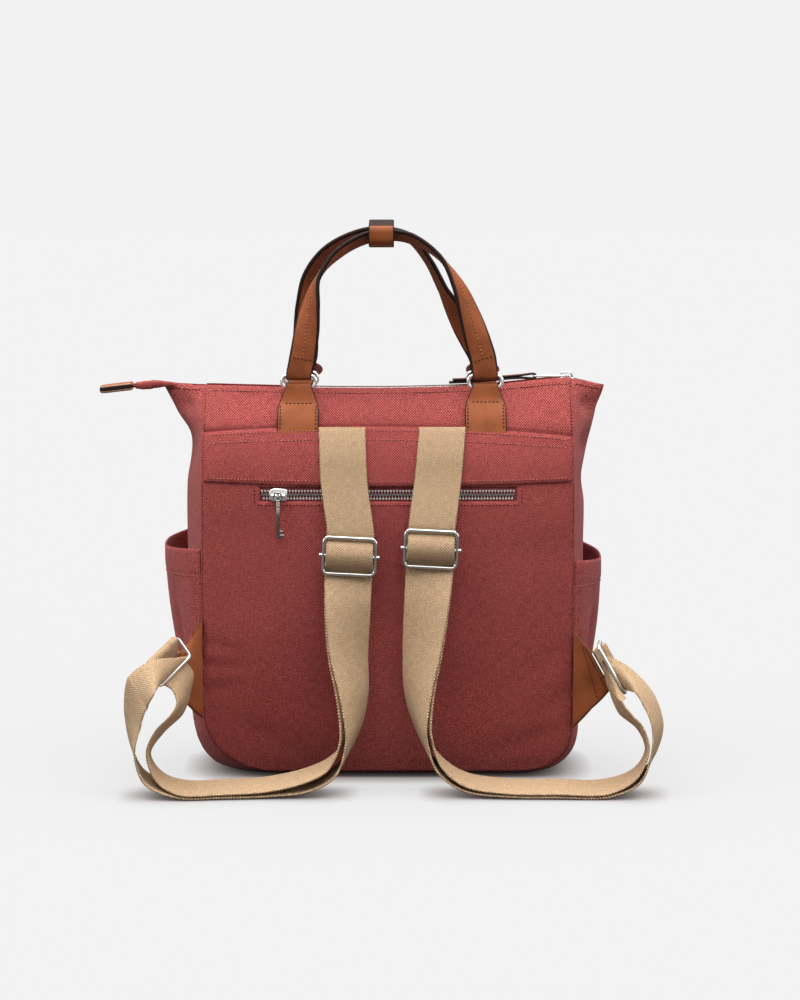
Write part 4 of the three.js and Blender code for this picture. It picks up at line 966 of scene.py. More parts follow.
def stitch_row(kind, points, normals, pitch=2.9, length=1.8, radius=0.42):
    """Marks stitches at equal steps along a line on a surface; light thread gets short dark stitches between,
    painted shade in its needle holes.
    """
    normals = np.broadcast_to(normals, points.shape)
    lengths = run_length(points)
    count = int((lengths[-1] - 2 * ROW_END) / pitch)
    start = (lengths[-1] - count * pitch) / 2 + pitch / 2
    for k in range(count):
        middle = start + k * pitch
        normal = unit(at_length(middle, lengths, normals))
        ends = [at_length(middle + d, lengths, points) for d in (-length / 2, length / 2)]
        stitches[kind].append((*ends, normal, radius))
        if kind in NEEDLE_HOLE_SHADE:
            # a short dark stitch in the gap: painted shade of the needle hole
            hole = [at_length(middle + pitch / 2 + d, lengths, points) for d in (-HOLE_SHADE_HALF, HOLE_SHADE_HALF)]
            stitches[NEEDLE_HOLE_SHADE[kind]].append((*hole, normal, radius * 0.75))


def stitch_shape(start, end, normal, radius):
    """One stitch: a short thread that rises out of the cloth and dips back into it."""
    side = unit(np.cross(unit(end - start), normal))
    places = (-1.0, -0.72, -0.3, 0.3, 0.72, 1.0)
    verts = []
    for p in places:
        middle = (start + end) / 2 + (end - start) / 2 * p + normal * radius * (0.75 * (1 - p ** 4) - 0.45)
        swell = radius * (1 - 0.45 * abs(p) ** 3)
        verts += turn_round(middle, side * 1.15, normal, swell, range(0, 360, 60))
    return np.array(verts), skin(len(places), 6)


def build_stitches(kind, slot):
    shape = merged(*[stitch_shape(*stitch) for stitch in stitches[kind]])
    place(new_object(f"stitches_{kind}", shape, [look[f"thread_{kind}"]], sharp=80), slot)


# Canvas body

FINE_LEVELS = np.concatenate([
    even([FOOT, 8, 13, 32, WINDOW["low"], WINDOW["high"], 278], 3.6),
    even([279, 293], 1.0),
    even([296, TOP], 2.4),
])
FINE_ACROSS = even(
    [-1, -0.985, -0.95, WINDOW["left"] / HALF_WIDTH, WINDOW["right"] / HALF_WIDTH, 0.95, 0.985, 1], 0.026)


def build_panel(end, has_window):
    u, z = np.meshgrid(FINE_ACROSS, FINE_LEVELS)
    x = u * seam_at(u, z)
    middle_x = (x[:-1, :-1] + x[1:, 1:]) / 2
    middle_z = (z[:-1, :-1] + z[1:, 1:]) / 2
    hole = ((middle_x > WINDOW["left"]) & (middle_x < WINDOW["right"])
            & (middle_z > WINDOW["low"]) & (middle_z < WINDOW["high"]))
    outer = dressed_panel_point(x, z, FACING[end])
    obj = sheet(f"panel_{end}", outer, CANVAS, np.stack([x, z], axis=-1), canvas, AWAY * FACING[end],
                ~hole if has_window else None)
    place(obj, "canvas", f"{end}_panel")


WING_TIP_DROP = {"left": 0.0, "right": 3.2}
WING_FROM = 296
WING_HEM = 3.2                  # distance of the wing's stitches from its upper edge
ON_CLOTH = 0.1                  # stitches lie this far off the cloth


def wing_point(station, t):
    """Side wall whose upper edge dips from the seams towards the tip of the wing."""
    point = wall_point(station, t)
    if station["side"] is not None:
        dip = WING_TIP_DROP[station["side"]] * smooth((station["z"] - WING_FROM) / 20)
        point[..., 2] -= dip * (1 - np.abs(t) ** 1.4)
    return point


def wing_stitches(side):
    """Row along the upper edge of each half of a wing."""
    station = wall_station(TOP - WING_DROP - WING_HEM, side)
    for face in FACING.values():
        points = wing_point(station, np.linspace(0.94, 0.12, 30) * face)
        normals = unit(np.cross(np.gradient(points, axis=0), UP))
        normals *= np.sign(normals[:, 1] * face)[:, None]
        stitch_row("red", points + normals * ON_CLOTH, normals)


def build_walls():
    stations = wall_stations(even([6, 13, 32, TOP - WING_DROP], 3.6), 60)
    across = even([-1, -0.97, 0.97, 1], 0.055)
    outer = np.array([wing_point(station, across) for station in stations])
    run = run_length(outer[:, len(across) // 2])
    uv = np.stack([outer[..., 1], np.repeat(run[:, None], len(across), axis=1)], axis=-1)
    obj = sheet("side_walls", outer, CANVAS, uv, canvas_side, outer - outer.reshape(-1, 3).mean(0))
    place(obj, "canvas", "gusset")
    for side in SIDES:
        wing_stitches(side)


def pocket_fold(rise, across):
    """Depth of the creases that rise from the pocket's foot."""
    depth = np.zeros(across.shape)
    for fold in POCKET_FOLDS:
        grown = math.sin(math.pi * min(1, rise / fold["top"]))
        depth += fold["deep"] * grown * bulge(across - fold["across"] - fold["lean"] * rise, fold["wide"])
    return depth


def build_pocket(side):
    across = even([-0.985, -0.88, 0.88, 0.985], 0.025)
    rises = even([0, 0.1, 0.8, 1.0], 0.022)
    outer = np.array([pocket_point(side, rise, across) for rise in rises])
    for rise, row in zip(rises, outer):
        hem = 0.7 * smooth((rise - POCKET_HEM) / 0.012)
        slack = 0.5 * np.sin(across * 7 + rise * 5) * (1 - across ** 2) * (0.4 + rise)
        sewn = POCKET_SEWN * smooth((np.abs(across) - 0.88) / 0.1)
        row[:, 0] += SIGN[side] * (hem + slack - sewn - pocket_fold(rise, across))
    obj = sheet(f"pocket_{side}", outer, CANVAS, outer[..., 1:], canvas_side, RIGHT * SIGN[side])
    place(obj, "canvas", f"side_pocket_{side}")
    hem_row = int(np.argmin(np.abs(rises - POCKET_HEM))) - 1
    normal = vec(SIGN[side], -0.2, 0)
    stitch_row("rose", outer[hem_row] + normal * ON_CLOTH, unit(normal))


def yoke_point(u, rise):
    x = u * HALF_WIDTH
    return off_panel(x, mix(yoke_edge(x, "low"), yoke_edge(x, "top"), rise), BACK, YOKE["off"])


def build_yoke():
    across = even([-YOKE["reach"], YOKE["reach"]], 0.03)
    u, rise = np.meshgrid(across, even([0, 0.1, 0.74, 0.9, 1.0], 0.05))
    uv = np.stack([u * HALF_WIDTH, YOKE_TALL * rise + 3], axis=-1)
    obj = sheet("yoke", yoke_point(u, rise), CANVAS, uv, canvas, -AWAY)
    place(obj, "canvas", "yoke_band")
    line = np.linspace(-0.975, 0.975, 200)
    for above_low, level in ((YOKE_TALL - 2.6, 270.0), (YOKE_TALL - 9.8, 270.0), (2.6, 250.0)):
        normals = panel_normal(line * HALF_WIDTH, level, BACK)
        stitch_row("rose", yoke_point(line, above_low / YOKE_TALL), normals)


SEAM_SPLIT = 246.0              # above this level the side seams show full stitches; below it they get a continuous dark line, painted shade in their groove
WINDOW_HEM = 2.6


def panel_row(x, z, facing, **thread):
    """Dark stitches along a line on a panel."""
    x, z = np.broadcast_arrays(x, z)
    stitch_row("red", dressed_panel_point(x, z, facing), panel_normal(x, z, facing), **thread)


def panel_stitches():
    """Rows along the top edge, the side seams and round the pocket zip; low on the side seams the row is a
    continuous dark line, painted shade in the seam's groove.
    """
    for facing in FACING.values():
        x = np.linspace(-150, 150, 160)
        stitch_row("rose", off_panel(x, TOP - 4, facing, 0.05), panel_normal(x, TOP - 6, facing))
        for side in SIDES:
            panel_row(SIGN[side] * (HALF_WIDTH - 1.4), np.linspace(SEAM_SPLIT, TOP - 2, 60), facing)
            z = np.linspace(FOOT + 4, SEAM_SPLIT, 160)
            panel_row(SIGN[side] * (seam_x(z, side) - 0.7), z, facing, **SEAM_SHADE_LINE)
    hem = WINDOW["low"] - WINDOW_HEM
    panel_row(np.linspace(WINDOW["left"] - 4, WINDOW["right"] + 4, 160), hem, BACK)
    for end in (WINDOW["left"] - 3.4, WINDOW["right"] + 3.4):
        panel_row(end, np.linspace(hem, WINDOW["high"] - 1, 12), BACK)


build_panel("back", True)
build_panel("front", False)
build_walls()
for side in SIDES:
    build_pocket(side)
build_yoke()
panel_stitches()


# Zips

TOOTH = {"wide": 0.62, "tall": 0.85, "pitch": 2.5}
TOOTH_PROFILE = (
    (-0.3, 0.6), (-0.22, 1.15), (0.12, 1.15), (0.22, 0.75), (0.6, 0.8), (1.0, 0.95), (1.18, 0.55))
TOOTH_SECTION = ((-1, -0.4), (-1, 0.55), (-0.55, 1), (0.55, 1), (1, 0.55), (1, -0.4))
TOOTH_FACES = 38                # faces of one tooth
TOOTH_BEAD_FACES = 18           # of these, the first ones make the bead at its outer end, painted bright as a highlight; the rest are painted darker as shade


def tooth(at, along, across, up, reach):
    """One metal tooth: a rounded tongue that reaches over the middle of the zip."""
    verts = []
    for place_across, swell in TOOTH_PROFILE:
        middle = at + across * reach * (place_across - 0.55)
        wide = along * TOOTH["wide"] * swell
        tall = up * TOOTH["tall"] * (0.75 + 0.25 * swell)
        verts += [middle + wide * a + tall * b for a, b in TOOTH_SECTION]
    return np.array(verts), skin(len(TOOTH_PROFILE), len(TOOTH_SECTION))


def tooth_rows(points, across, up, reach):
    """Two rows of teeth that meet in the middle, half a pitch apart."""
    across, up = np.broadcast_to(across, points.shape), np.broadcast_to(up, points.shape)
    lengths = run_length(points)
    teeth = []
    for k in range(int(lengths[-1] / TOOTH["pitch"] * 2)):
        at = (k + 0.5) * TOOTH["pitch"] / 2
        side, rise = unit(at_length(at, lengths, across)), unit(at_length(at, lengths, up))
        inward = side if k % 2 else -side
        root = at_length(at, lengths, points) - inward * reach * 0.42
        teeth.append(tooth(root, unit(np.cross(side, rise)), inward, rise, reach))
    return merged(*teeth)


def build_pocket_zip():
    """Tape behind the window, with teeth painted as two copies of one metal: a bright highlight on their
    outer beads and shade on their middle.
    """
    x = np.linspace(WINDOW["left"] - 5, WINDOW["right"] + 5, 90)
    z = np.linspace(WINDOW["low"] - 5, WINDOW["high"] + 5, 14)
    x, z = np.meshgrid(x, z)
    fold = 0.55 * bulge(z - POCKET_CHAIN["mid"], 3.4)
    outer = off_panel(x, z, BACK, -(CANVAS + 2 * GAP)) - AWAY * fold[..., None]
    obj = sheet("pocket_tape", outer, 0.8, np.stack([x, z], axis=-1), pocket_tape, -AWAY)
    place(obj, "zip_tape", "pocket_zip_tape")
    x = np.linspace(POCKET_CHAIN["left"] - POCKET_CHAIN["stub"], POCKET_CHAIN["right"], 120)
    points = off_panel(x, POCKET_CHAIN["mid"], BACK, 0.4 - CANVAS)
    shape = tooth_rows(points, UP, panel_normal(x, POCKET_CHAIN["mid"], BACK), 3.1)
    # bead faces take the bright metal as a painted highlight, the rest the darker copy as painted shade
    shades = [0 if k % TOOTH_FACES < TOOTH_BEAD_FACES else 1 for k in range(len(shape[1]))]
    metals = [look["zip_teeth"], look["zip_teeth_dark"]]
    place(new_object("pocket_teeth", shape, metals, None, shades, sharp=40), "nickel", "pocket_zip_chain")


SLIDER_WAIST = 0.84             # the plate's rounded ends fall short of the slider's overall length
SLIDER_OUTLINE = ((-0.5, 0.30), (-0.42, 0.40), (-0.22, 0.5), (0.1, 0.46), (0.42, 0.42), (0.5, 0.34))


def slider_plate(long, tall, thick):
    """Slider body: a waisted plate with softened edges, lying in XZ and facing -Y."""
    outline = [(x, -z) for x, z in SLIDER_OUTLINE] + list(SLIDER_OUTLINE[::-1])
    levels = [(0.0, 0.5), (-0.35, 0.0), (-thick + 0.5, 0.0), (-thick + 0.12, 0.28), (-thick, 0.7)]
    verts = [(x * (long - 2 * inset), y, z * (tall - 2 * inset)) for y, inset in levels for x, z in outline]
    return np.array(verts), skin(len(levels), len(outline))


def slider_with_bridge(long, tall, thick, wire, high):
    foot, span = 0.4 - thick, long * 0.32
    arch = []
    for angle in np.radians(np.linspace(0, 180, 25)):
        c, s = math.cos(angle), math.sin(angle)
        arch.append((-span * math.copysign(abs(c) ** 0.5, c), foot - (high + 0.4) * abs(s) ** 0.35, 0))
    return merged(slider_plate(long * SLIDER_WAIST, tall, thick), tube(arch, wire, False, 12))


def build_pocket_slider():
    """The pocket's slider; gives the middle of its bridge, on which the pull hangs."""
    size = POCKET_SLIDER
    foot = vec(size["x"], off_panel(size["x"], size["z"], BACK, -CANVAS / 2)[1], size["z"])
    verts, faces = slider_with_bridge(size["long"], size["tall"], size["thick"], size["bridge"], size["high"])
    place(new_object("pocket_slider", (verts + foot, faces), [nickel]), "nickel", "pocket_zip_slider")
    return foot - AWAY * (size["thick"] + size["high"])


FULL_TURN = range(0, 360, 9)
BOW = {"radius": 3.3, "wire": 0.75}
COLLARS = table("low tall radius", (3.4, 1.6, 2.0), (1.6, 0.9, 1.7), (6.2, 0.8, 1.6))
BIT_TEETH = table("low high short", (1.0, 3.4, 1.5), (4.6, 6.6, 2.4))
BIT = {"from": 0.2, "half": 0.9, "bevel": 0.22}


def build_pocket_pull(pivot):
    """Slim key-like pull: an eye on the bridge, a plain ring bow, a collared shaft and a small bit."""
    size = PULL_SIZE
    drop = size["eye"] - POCKET_SLIDER["bridge"] - GAP - size["wire"]
    foot, neck = -drop - size["length"], -drop - size["eye"]
    eye = tube(turn_round(-UP * drop, AWAY, UP, size["eye"], FULL_TURN), size["wire"], True)
    bow_middle = vec(0, -size["eye"] - 0.2, 0.4 - drop)
    bow = tube(turn_round(bow_middle, RIGHT, UP, BOW["radius"], FULL_TURN), BOW["wire"], True)
    shaft = rod(UP * (neck + 0.4), UP * foot, size["shaft"])
    collars = [rod(UP * (neck - row["low"] - row["tall"]), UP * (neck - row["low"]), row["radius"])
               for row in COLLARS]
    bits = [block(vec(BIT["from"], -BIT["half"], foot + row["low"]),
                  vec(size["bit"] - row["short"], BIT["half"], foot + row["high"]), BIT["bevel"])
            for row in BIT_TEETH]
    verts, faces = merged(eye, bow, shaft, *collars, *bits)
    obj = new_object("pocket_pull_key", (verts + pivot, faces), [look["nickel_dark"]])
    place(obj, "nickel", "pocket_zip_pull", body=PULL)


TAPE_CURL = 2.4                 # how far the tape's far edge stands up along the middle
LEFT_SUNK = 2.2                 # the closed end of the zip lies deeper between the panels


def tape_middle(x):
    """One along the middle of the top zip, falling to zero under the handles."""
    return smooth((x + 88) / 22) * smooth((74 - x) / 22)


def tape_height(x):
    rise = np.clip((-x - 126) / 22, 0, 1)
    sunk = LEFT_SUNK * smooth((-84 - x) / 12)
    return top_line(x) - mix(TOP_TAPE["below"], TOP_TAPE["below_at_tail"], rise) - sunk


def build_top_tape():
    x, side = np.meshgrid(np.linspace(TOP_TAPE["left"], TOP_TAPE["right"], 150), np.linspace(-1, 1, 13))
    past = np.clip((np.abs(x) - HALF_WIDTH + 4) / 32, 0, 1)
    y = side * mix(TOP_TAPE["half"], TOP_TAPE["tip"], past)
    curl = TAPE_CURL * np.clip(side, 0, 1) ** 2 * tape_middle(x)
    outer = np.stack([x, y, tape_height(x) + curl], axis=-1)
    obj = sheet("top_tape", outer, TOP_TAPE["thick"], outer[..., :2], zip_tape, UP)
    place(obj, "zip_tape", "top_zip_tape")


def build_top_chain():
    x = np.linspace(TOP_CHAIN["left"], TOP_CHAIN["right"], 160)
    points = np.stack([x, 0 * x, tape_height(x) + GAP + 0.3 + 1.2 * tape_middle(x)], axis=-1)
    shape = tooth_rows(points, AWAY, UP, 2.9)
    place(new_object("top_teeth", shape, [look["zip_teeth"]], sharp=40), "nickel", "top_zip_chain")


def build_top_slider():
    """The slider and the wire link that lies on it; gives the end of the link that holds the leather pull."""
    size, link = TOP_SLIDER, TOP_LINK
    foot = float(tape_height(size["x"])) + GAP
    verts, faces = slider_with_bridge(size["long"], size["wide"], size["tall"], size["bridge"], size["high"])
    turned = np.stack([verts[:, 0], verts[:, 2], -verts[:, 1]], axis=-1) + vec(size["x"], 0, foot)
    place(new_object("top_slider", (turned, faces), [look["nickel_mid"]]), "nickel", "top_zip_slider")
    height = foot + size["tall"] + GAP + link["wire"]
    path = rounded_path(vec((link["left"] + link["right"]) / 2, 0, height), RIGHT, AWAY,
                        link["right"] - link["left"], link["wide"], link["corner"])
    obj = new_object("top_link", tube(path, link["wire"], True), [look["nickel_mid"]])
    place(obj, "nickel", "top_zip_link")
    return vec(link["left"], 0, height)


def build_top_pull(fold):
    """Leather strip folded round the end of the link, both halves lying along the zip."""
    low, high = LEATHER / 2, LEATHER * 1.5 + GAP
    left, wide = TOP_PULL["left"], TOP_PULL["wide"]

    def lay(x, up_by):
        return vec(x, 0, float(tape_height(x)) + GAP + TOP_CHAIN["tall"] + TOP_PULL["above"] + up_by)

    bend = turn_round(fold, RIGHT, UP, TOP_LINK["wire"] + GAP + LEATHER / 2, (-90, -45, 0, 45, 90))
    points = [lay(left, low), lay(left + 22, low), lay(fold[0] - 12, low), *bend,
              lay(fold[0] - 12, high), lay(left + 22, high), lay(left + 3, high)]
    widths = [wide, wide, wide * 0.7] + [TOP_PULL["neck"]] * len(bend) + [wide * 0.7, wide, wide]
    strip = Ribbon(points, AWAY, widths, LEATHER, 1.5)
    place(strip.build("top_pull", [leather, edge_paint], 6), "leather", "top_zip_pull")


EDGE_FROM, GAP_FROM = 0.86, 0.993   # how far round a bar's section its cut edge and its middle line begin


def section_bar(name, rows, materials, slot, node, sides, power, wrinkle=0.0, steps=40):
    """A soft bar of rounded sections along X; its two sides take the later materials."""
    x = np.linspace(rows[0]["x"], rows[-1]["x"], steps)
    flip = [dict(row, x=-row["x"]) for row in rows]
    height, tall, wide = (column(flip, "x", key)(-x)[:, None] for key in ("z", "tall", "wide"))
    angles = np.linspace(0, 2 * math.pi, sides, endpoint=False)
    c, s = np.cos(angles), np.sin(angles)
    from_end = np.minimum(np.arange(steps), np.arange(steps)[::-1])
    x = x[:, None]
    crease = 1 + wrinkle * np.sin(x * 0.9 + s * 2.5) * np.abs(np.sin(x * 0.33))
    size = np.minimum(1, 0.55 + 0.45 * from_end / 2)[:, None] * crease / 2
    y = np.sign(c) * np.abs(c) ** power * wide * size
    z = height + np.sign(s) * np.abs(s) ** power * tall * size
    verts = np.stack([np.repeat(x, sides, axis=1), y, z], axis=-1).reshape(-1, 3)
    uvs = np.stack([verts[:, 0], verts[:, 1] + verts[:, 2]], axis=-1) * MM
    sideways = np.abs(np.cos(angles + math.pi / sides))
    last = len(materials) - 1
    band = np.minimum(last, (sideways >= EDGE_FROM) * 1 + (sideways >= GAP_FROM))
    indices = np.append(np.tile(band, steps - 1), [0, last])
    place(new_object(name, (verts, skin(steps, sides)), materials, uvs, indices, sharp=60), slot, node)


build_pocket_zip()
build_pocket_pull(build_pocket_slider())
build_top_tape()
build_top_chain()
build_top_pull(build_top_slider())
section_bar("tail", TAIL, [canvas], "canvas", "zip_tail", sides=28, power=0.6, wrinkle=0.06)
section_bar("tail_tab", TAIL_TAB, [leather, look["leather_pale"], edge_paint], "leather", "zip_tail_tab",
            sides=44, power=0.35)


# Handles

def ring_bar(side, facing, half):
    """Middle of a handle ring's lower (-1) or upper (1) bar."""
    return vec(TAB_X[side], facing * HANDLE_RING["depth"], HANDLE_RING["z"] + half * HANDLE_RING["tall"] / 2)


def build_handle_ring(side, end):
    size = HANDLE_RING
    path = rounded_path(ring_bar(side, FACING[end], 0), RIGHT, UP, size["wide"], size["tall"], size["corner"])
    ring = new_object(f"ring_{end}_{side}", tube(path, size["wire"], True, 16), [nickel])
    place(ring, "nickel", f"handle_ring_{end}_{side}")


TAB_MARGIN = 2.4                # distance of the tab's stitches from its edges


def build_handle_tab(side, end):
    """Leather tab: up the panel, over the lower bar of the ring, and back down behind itself."""
    x, facing = TAB_X[side], FACING[end]
    inner = 3 * GAP + LEATHER / 2
    outer = inner + LEATHER + GAP
    ways = ((TAB["foot"] - 5.5, LEATHER / 2 - 0.2), (TAB["foot"] + 3, outer - 0.9), (TAB["middle"], outer),
            (TAB["shoulder"], outer), (TAB["shoulder"], inner), (TAB["tuck"], inner))
    on_panel = [off_panel(x, z, facing, off) for z, off in ways]
    bend = turn_round(ring_bar(side, facing, -1), AWAY * facing, UP, HANDLE_BEND, (0, 45, 90, 135, 180))
    wide = TAB["width"]
    widths = [wide, wide, wide, wide * 0.92] + [TAB["loop"]] * len(bend) + [wide * 0.85] * 2
    strip = Ribbon(on_panel[:4] + bend + on_panel[4:], RIGHT, widths, LEATHER, 1.2)
    place(strip.build(f"tab_{end}_{side}", [leather, edge_paint], 10), "leather", f"handle_tab_{end}_{side}")
    face = 1 if strip.normal[2][1] * facing > 0 else -1
    shoulder = strip.place_of(off_panel(x, TAB["shoulder"] - 0.5, facing, outer))
    stitch_row("brown", *strip.cross(shoulder, face, TAB_MARGIN), **LEATHER_STITCH)
    for edge in SIGN.values():
        offset = edge * (TAB["width"] / 2 - TAB_MARGIN)
        stitch_row("brown", *strip.line(offset, 0.5, shoulder, face), **LEATHER_STITCH)


def build_handle(end):
    """Leather handle that turns as it rises, with a loop round a ring at each end."""
    rows, facing = HANDLE_PATHS[end], FACING[end]
    points = np.array([(row["x"], row["y"], row["z"]) for row in rows], float)
    _, along = spline(points, np.arange(len(rows), dtype=float))
    across = []
    for row, direction in zip(rows, along):
        turn = math.radians(row["turn"])
        across.append(unit(vec(-direction[2], 0, direction[0])) * math.cos(turn) + AWAY * math.sin(turn))
    turns = (-25, 20, 65, 110, 155, 185)
    left, right = (turn_round(ring_bar(side, facing, 1), AWAY * -facing, -UP, HANDLE_BEND, turns)
                   for side in SIDES)
    loop = len(left)
    strip = Ribbon(
        [*left, *points, *right[::-1]],
        [-RIGHT] * loop + across + [RIGHT] * loop,
        [HANDLE["loop"]] * loop + [HANDLE["width"]] * len(rows) + [HANDLE["loop"]] * loop,
        [LEATHER] * loop + [HANDLE["thick"]] * len(rows) + [LEATHER] * loop,
        1.6)
    place(strip.build(f"grip_{end}", [leather, edge_paint], 10, crown=0.12), "leather", f"handle_{end}")
    low, high = strip.place_of(points[0]), strip.place_of(points[-1])
    for face in (-1, 1):
        stitch_row("tan", *strip.line(0, low + 1, high - 1, face, 0.12), **HANDLE_STITCH)
        for at in (low + 0.5, high - 0.5):
            stitch_row("brown", *strip.cross(at, face, 1.6), **LEATHER_STITCH)


PATCH_RINGS = ((0.02, 1.0), (0.55, 1.0), (0.82, 0.97), (0.94, 0.75), (1.0, 0.5), (0.94, 0.25), (0.82, 0.03),
               (0.55, 0.0), (0.02, 0.0))
PATCH_TURN = np.arange(0, 360, 7.5)


def build_patch(side):
    """Rounded leather patch with a soft rim behind the front handle's foot; its leather is reddish and
    painted darker as shade.
    """
    inner = HANDLE_RING["depth"] + HANDLE_RING["wire"] + LEATHER + 5 * GAP
    wide, tall = RIGHT * PATCH["wide"] / 2, UP * PATCH["tall"] / 2
    verts = []
    for reach, depth in PATCH_RINGS:
        middle = vec(PATCH_X[side], inner + PATCH["thick"] * depth, PATCH["z"])
        verts += turn_round(middle, wide, tall, reach, PATCH_TURN)
    shape = (verts, skin(len(PATCH_RINGS), len(PATCH_TURN)))
    obj = new_object(f"patch_{side}", shape, [look["leather_red"]], sharp=60)
    place(obj, "leather", f"handle_patch_{side}")


def build_keeper():
    """Leather band closed round both handles, with rounded corners, dark cut edges and its top painted dark
    as shade.
    """
    corners = np.array([(row["y"], row["z"]) for row in KEEPER_OUTLINE], float)
    corners = corners - np.sign(corners - corners.mean(0)) * KEEPER["wall"] / 2
    path = []
    for before, corner, after in zip(np.roll(corners, 1, axis=0), corners, np.roll(corners, -1, axis=0)):
        room = [np.linalg.norm(other - corner) * 0.4 for other in (before, after)]
        cut = min(KEEPER["round"], *room)
        start, end = corner + unit(before - corner) * cut, corner + unit(after - corner) * cut
        path += [(1 - t) ** 2 * start + 2 * t * (1 - t) * corner + t * t * end for t in np.linspace(0, 1, 9)]
    x = (KEEPER["left"] + KEEPER["right"]) / 2
    points = [vec(x, y, z) for y, z in path + path[:1]]
    strip = Ribbon(points, RIGHT, KEEPER["right"] - KEEPER["left"], KEEPER["wall"], 0.8)
    obj = strip.build("keeper", [leather, look["leather_back"]], 8)
    # faces high on the keeper take the dark leather: painted shade on its top
    for face in obj.data.polygons:
        if face.center.z > KEEPER_SHADE_FROM * MM:
            face.material_index = 1
    place(obj, "leather", "handle_keeper")
    low = strip.place_of(vec(x, *KEEPER_SEAM))
    face = 1 if strip.normal[np.argmin(np.abs(strip.length - low))][2] < 0 else -1
    stitch_row("brown", *strip.cross(low, face, 3), **KEEPER_STITCH)


for end in FACING:
    build_handle(end)
    for side in SIDES:
        build_handle_ring(side, end)
        build_handle_tab(side, end)
for side in SIDES:
    build_patch(side)
build_keeper()


# Shoulder straps

def slider_axes(side):
    """Middle of a strap slider, its right and its up."""
    tilt = math.radians(SLIDERS[side]["tilt"])
    c, s = math.cos(tilt), math.sin(tilt)
    return vec(*SLIDERS[side]["at"]), vec(c, 0, s), vec(-s, 0, c)


def build_strap_slider(side):
    middle, right, up = slider_axes(side)
    path = rounded_path(middle, right, up, SLIDER["wide"], SLIDER["tall"], SLIDER["corner"])
    pin = right * SLIDER["pin"]
    inside = right * (SLIDER["pin"] - SLIDER["head_long"])
    bar = rod(middle - pin, middle + pin, SLIDER["wire"] * 0.96)
    heads = [rod(middle + end * inside, middle + end * pin, SLIDER["head"]) for end in (-1, 1)]
    shape = merged(tube(path, SLIDER["wire"], True, 16), bar, *heads)
    place(new_object(f"slider_{side}", shape, [look["nickel_mid"]]), "nickel", f"strap_slider_{side}")


def ring_axes(side):
    """Bar of a corner ring that holds the strap, the way along it and the way to the other bar."""
    flip = vec(SIGN[side], 1, 1)
    size = CORNER_RINGS[side]
    along = unit(vec(*size["along"]) * flip)
    across = vec(*size["across"]) * flip
    across = unit(across - along * np.dot(across, along))
    return vec(*size["bar"]) * flip, along, across


def strap_at_slider(side):
    """Where the strap passes the slider: over its bar on the way down, and round the bar at its end."""
    middle, right, up = slider_axes(side)
    across = right * -SIGN[side]
    wire, half = SLIDER["wire"], SLIDER["tall"] / 2
    behind = -(wire + 3 * GAP + WEBBING / 2)
    over = wire + 3 * GAP + WEBBING * 1.5
    second = behind - WEBBING - GAP
    bend = wire + GAP + WEBBING / 2

    def in_frame(rise, to_viewer):
        return middle + up * rise * half - AWAY * to_viewer, across

    down = [in_frame(*way) for way in ((1.25, behind), (0.95, behind), (0.45, over * 0.6), (0, over),
                                       (-0.45, over * 0.6), (-0.95, behind))]
    ending = [in_frame(-1, second), in_frame(-0.45, (second - bend) / 2)]
    ending += [(at, across) for at in turn_round(middle, -AWAY, up, bend, (180, 135, 90, 45, 0))]
    return down, ending


def strap_row(row, sign):
    """Place of one row of a strap table, and the way across the webbing there."""
    turn, tip = math.radians(row["turn"]), math.radians(row["tip"])
    across = vec(-sign * math.cos(turn) * math.cos(tip), math.sin(turn) * math.cos(tip), math.sin(tip))
    return vec(sign * row["out"], row["y"], row["z"]), across


def strap_on_ring(side):
    """The fold of the webbing round the bar of the corner ring."""
    bar, along, across = ring_axes(side)
    near = unit(np.cross(along, across))
    near = near * -np.sign(near[1])
    seat = bar + along * STRAP_FOLD[side]["shift"]
    return [(at, along) for at in turn_round(seat, across, near, CORNER_BEND, (35, 0, -35, -70, -105))]


def second_layer(side, run):
    """The returning webbing, which lies behind the run that leads away from the slider."""
    layer = []
    for i, (at, across) in enumerate(run):
        along = unit(run[min(i + 1, len(run) - 1)][0] - run[max(i - 1, 0)][0])
        outer_face = unit(np.cross(along, across)) * -SIGN[side]
        layer.append((at - outer_face * STRAP_RUN[side][i]["apart"], across))
    return layer[::-1]


ON_YOKE = 4 * GAP + CANVAS + WEBBING / 2
STRAP_TOP = table("z more", (288, -0.4), (284, 0.2), (268, 0.2), (248, 0.4))


def build_strap(side):
    """One length of webbing: yoke, slider, run to the ring, round its bar, back to the slider's bar."""
    sign, root = SIGN[side], STRAP_ROOT[side]
    on_yoke = []
    for row in STRAP_TOP:
        x = sign * (root["out"] - root["lean"] * (290 - row["z"]) / 45)
        on_yoke.append((off_panel(x, row["z"], BACK, ON_YOKE + row["more"]), RIGHT * -sign))
    down, ending = strap_at_slider(side)
    run, outer_loop, inner_loop = ([strap_row(row, sign) for row in rows[side]]
                                   for rows in (STRAP_RUN, STRAP_OUTER_LOOP, STRAP_INNER_LOOP))
    there = on_yoke + down + run + outer_loop
    fold = strap_on_ring(side)
    back = inner_loop + second_layer(side, run) + ending
    gathered = STRAP_FOLD[side]["width"]
    half_way = (gathered + WEBBING_WIDTH) / 2
    widths = [WEBBING_WIDTH] * (len(there) - 1) + [half_way] + [gathered] * len(fold)
    widths += [half_way] + [WEBBING_WIDTH] * (len(back) - 1)
    points, across = zip(*there, *fold, *back)
    strip = Ribbon(points, across, widths, WEBBING, 0.8)
    place(strip.build(f"strap_{side}", [webbing], 10, wave=0.6), "webbing", f"shoulder_strap_{side}")


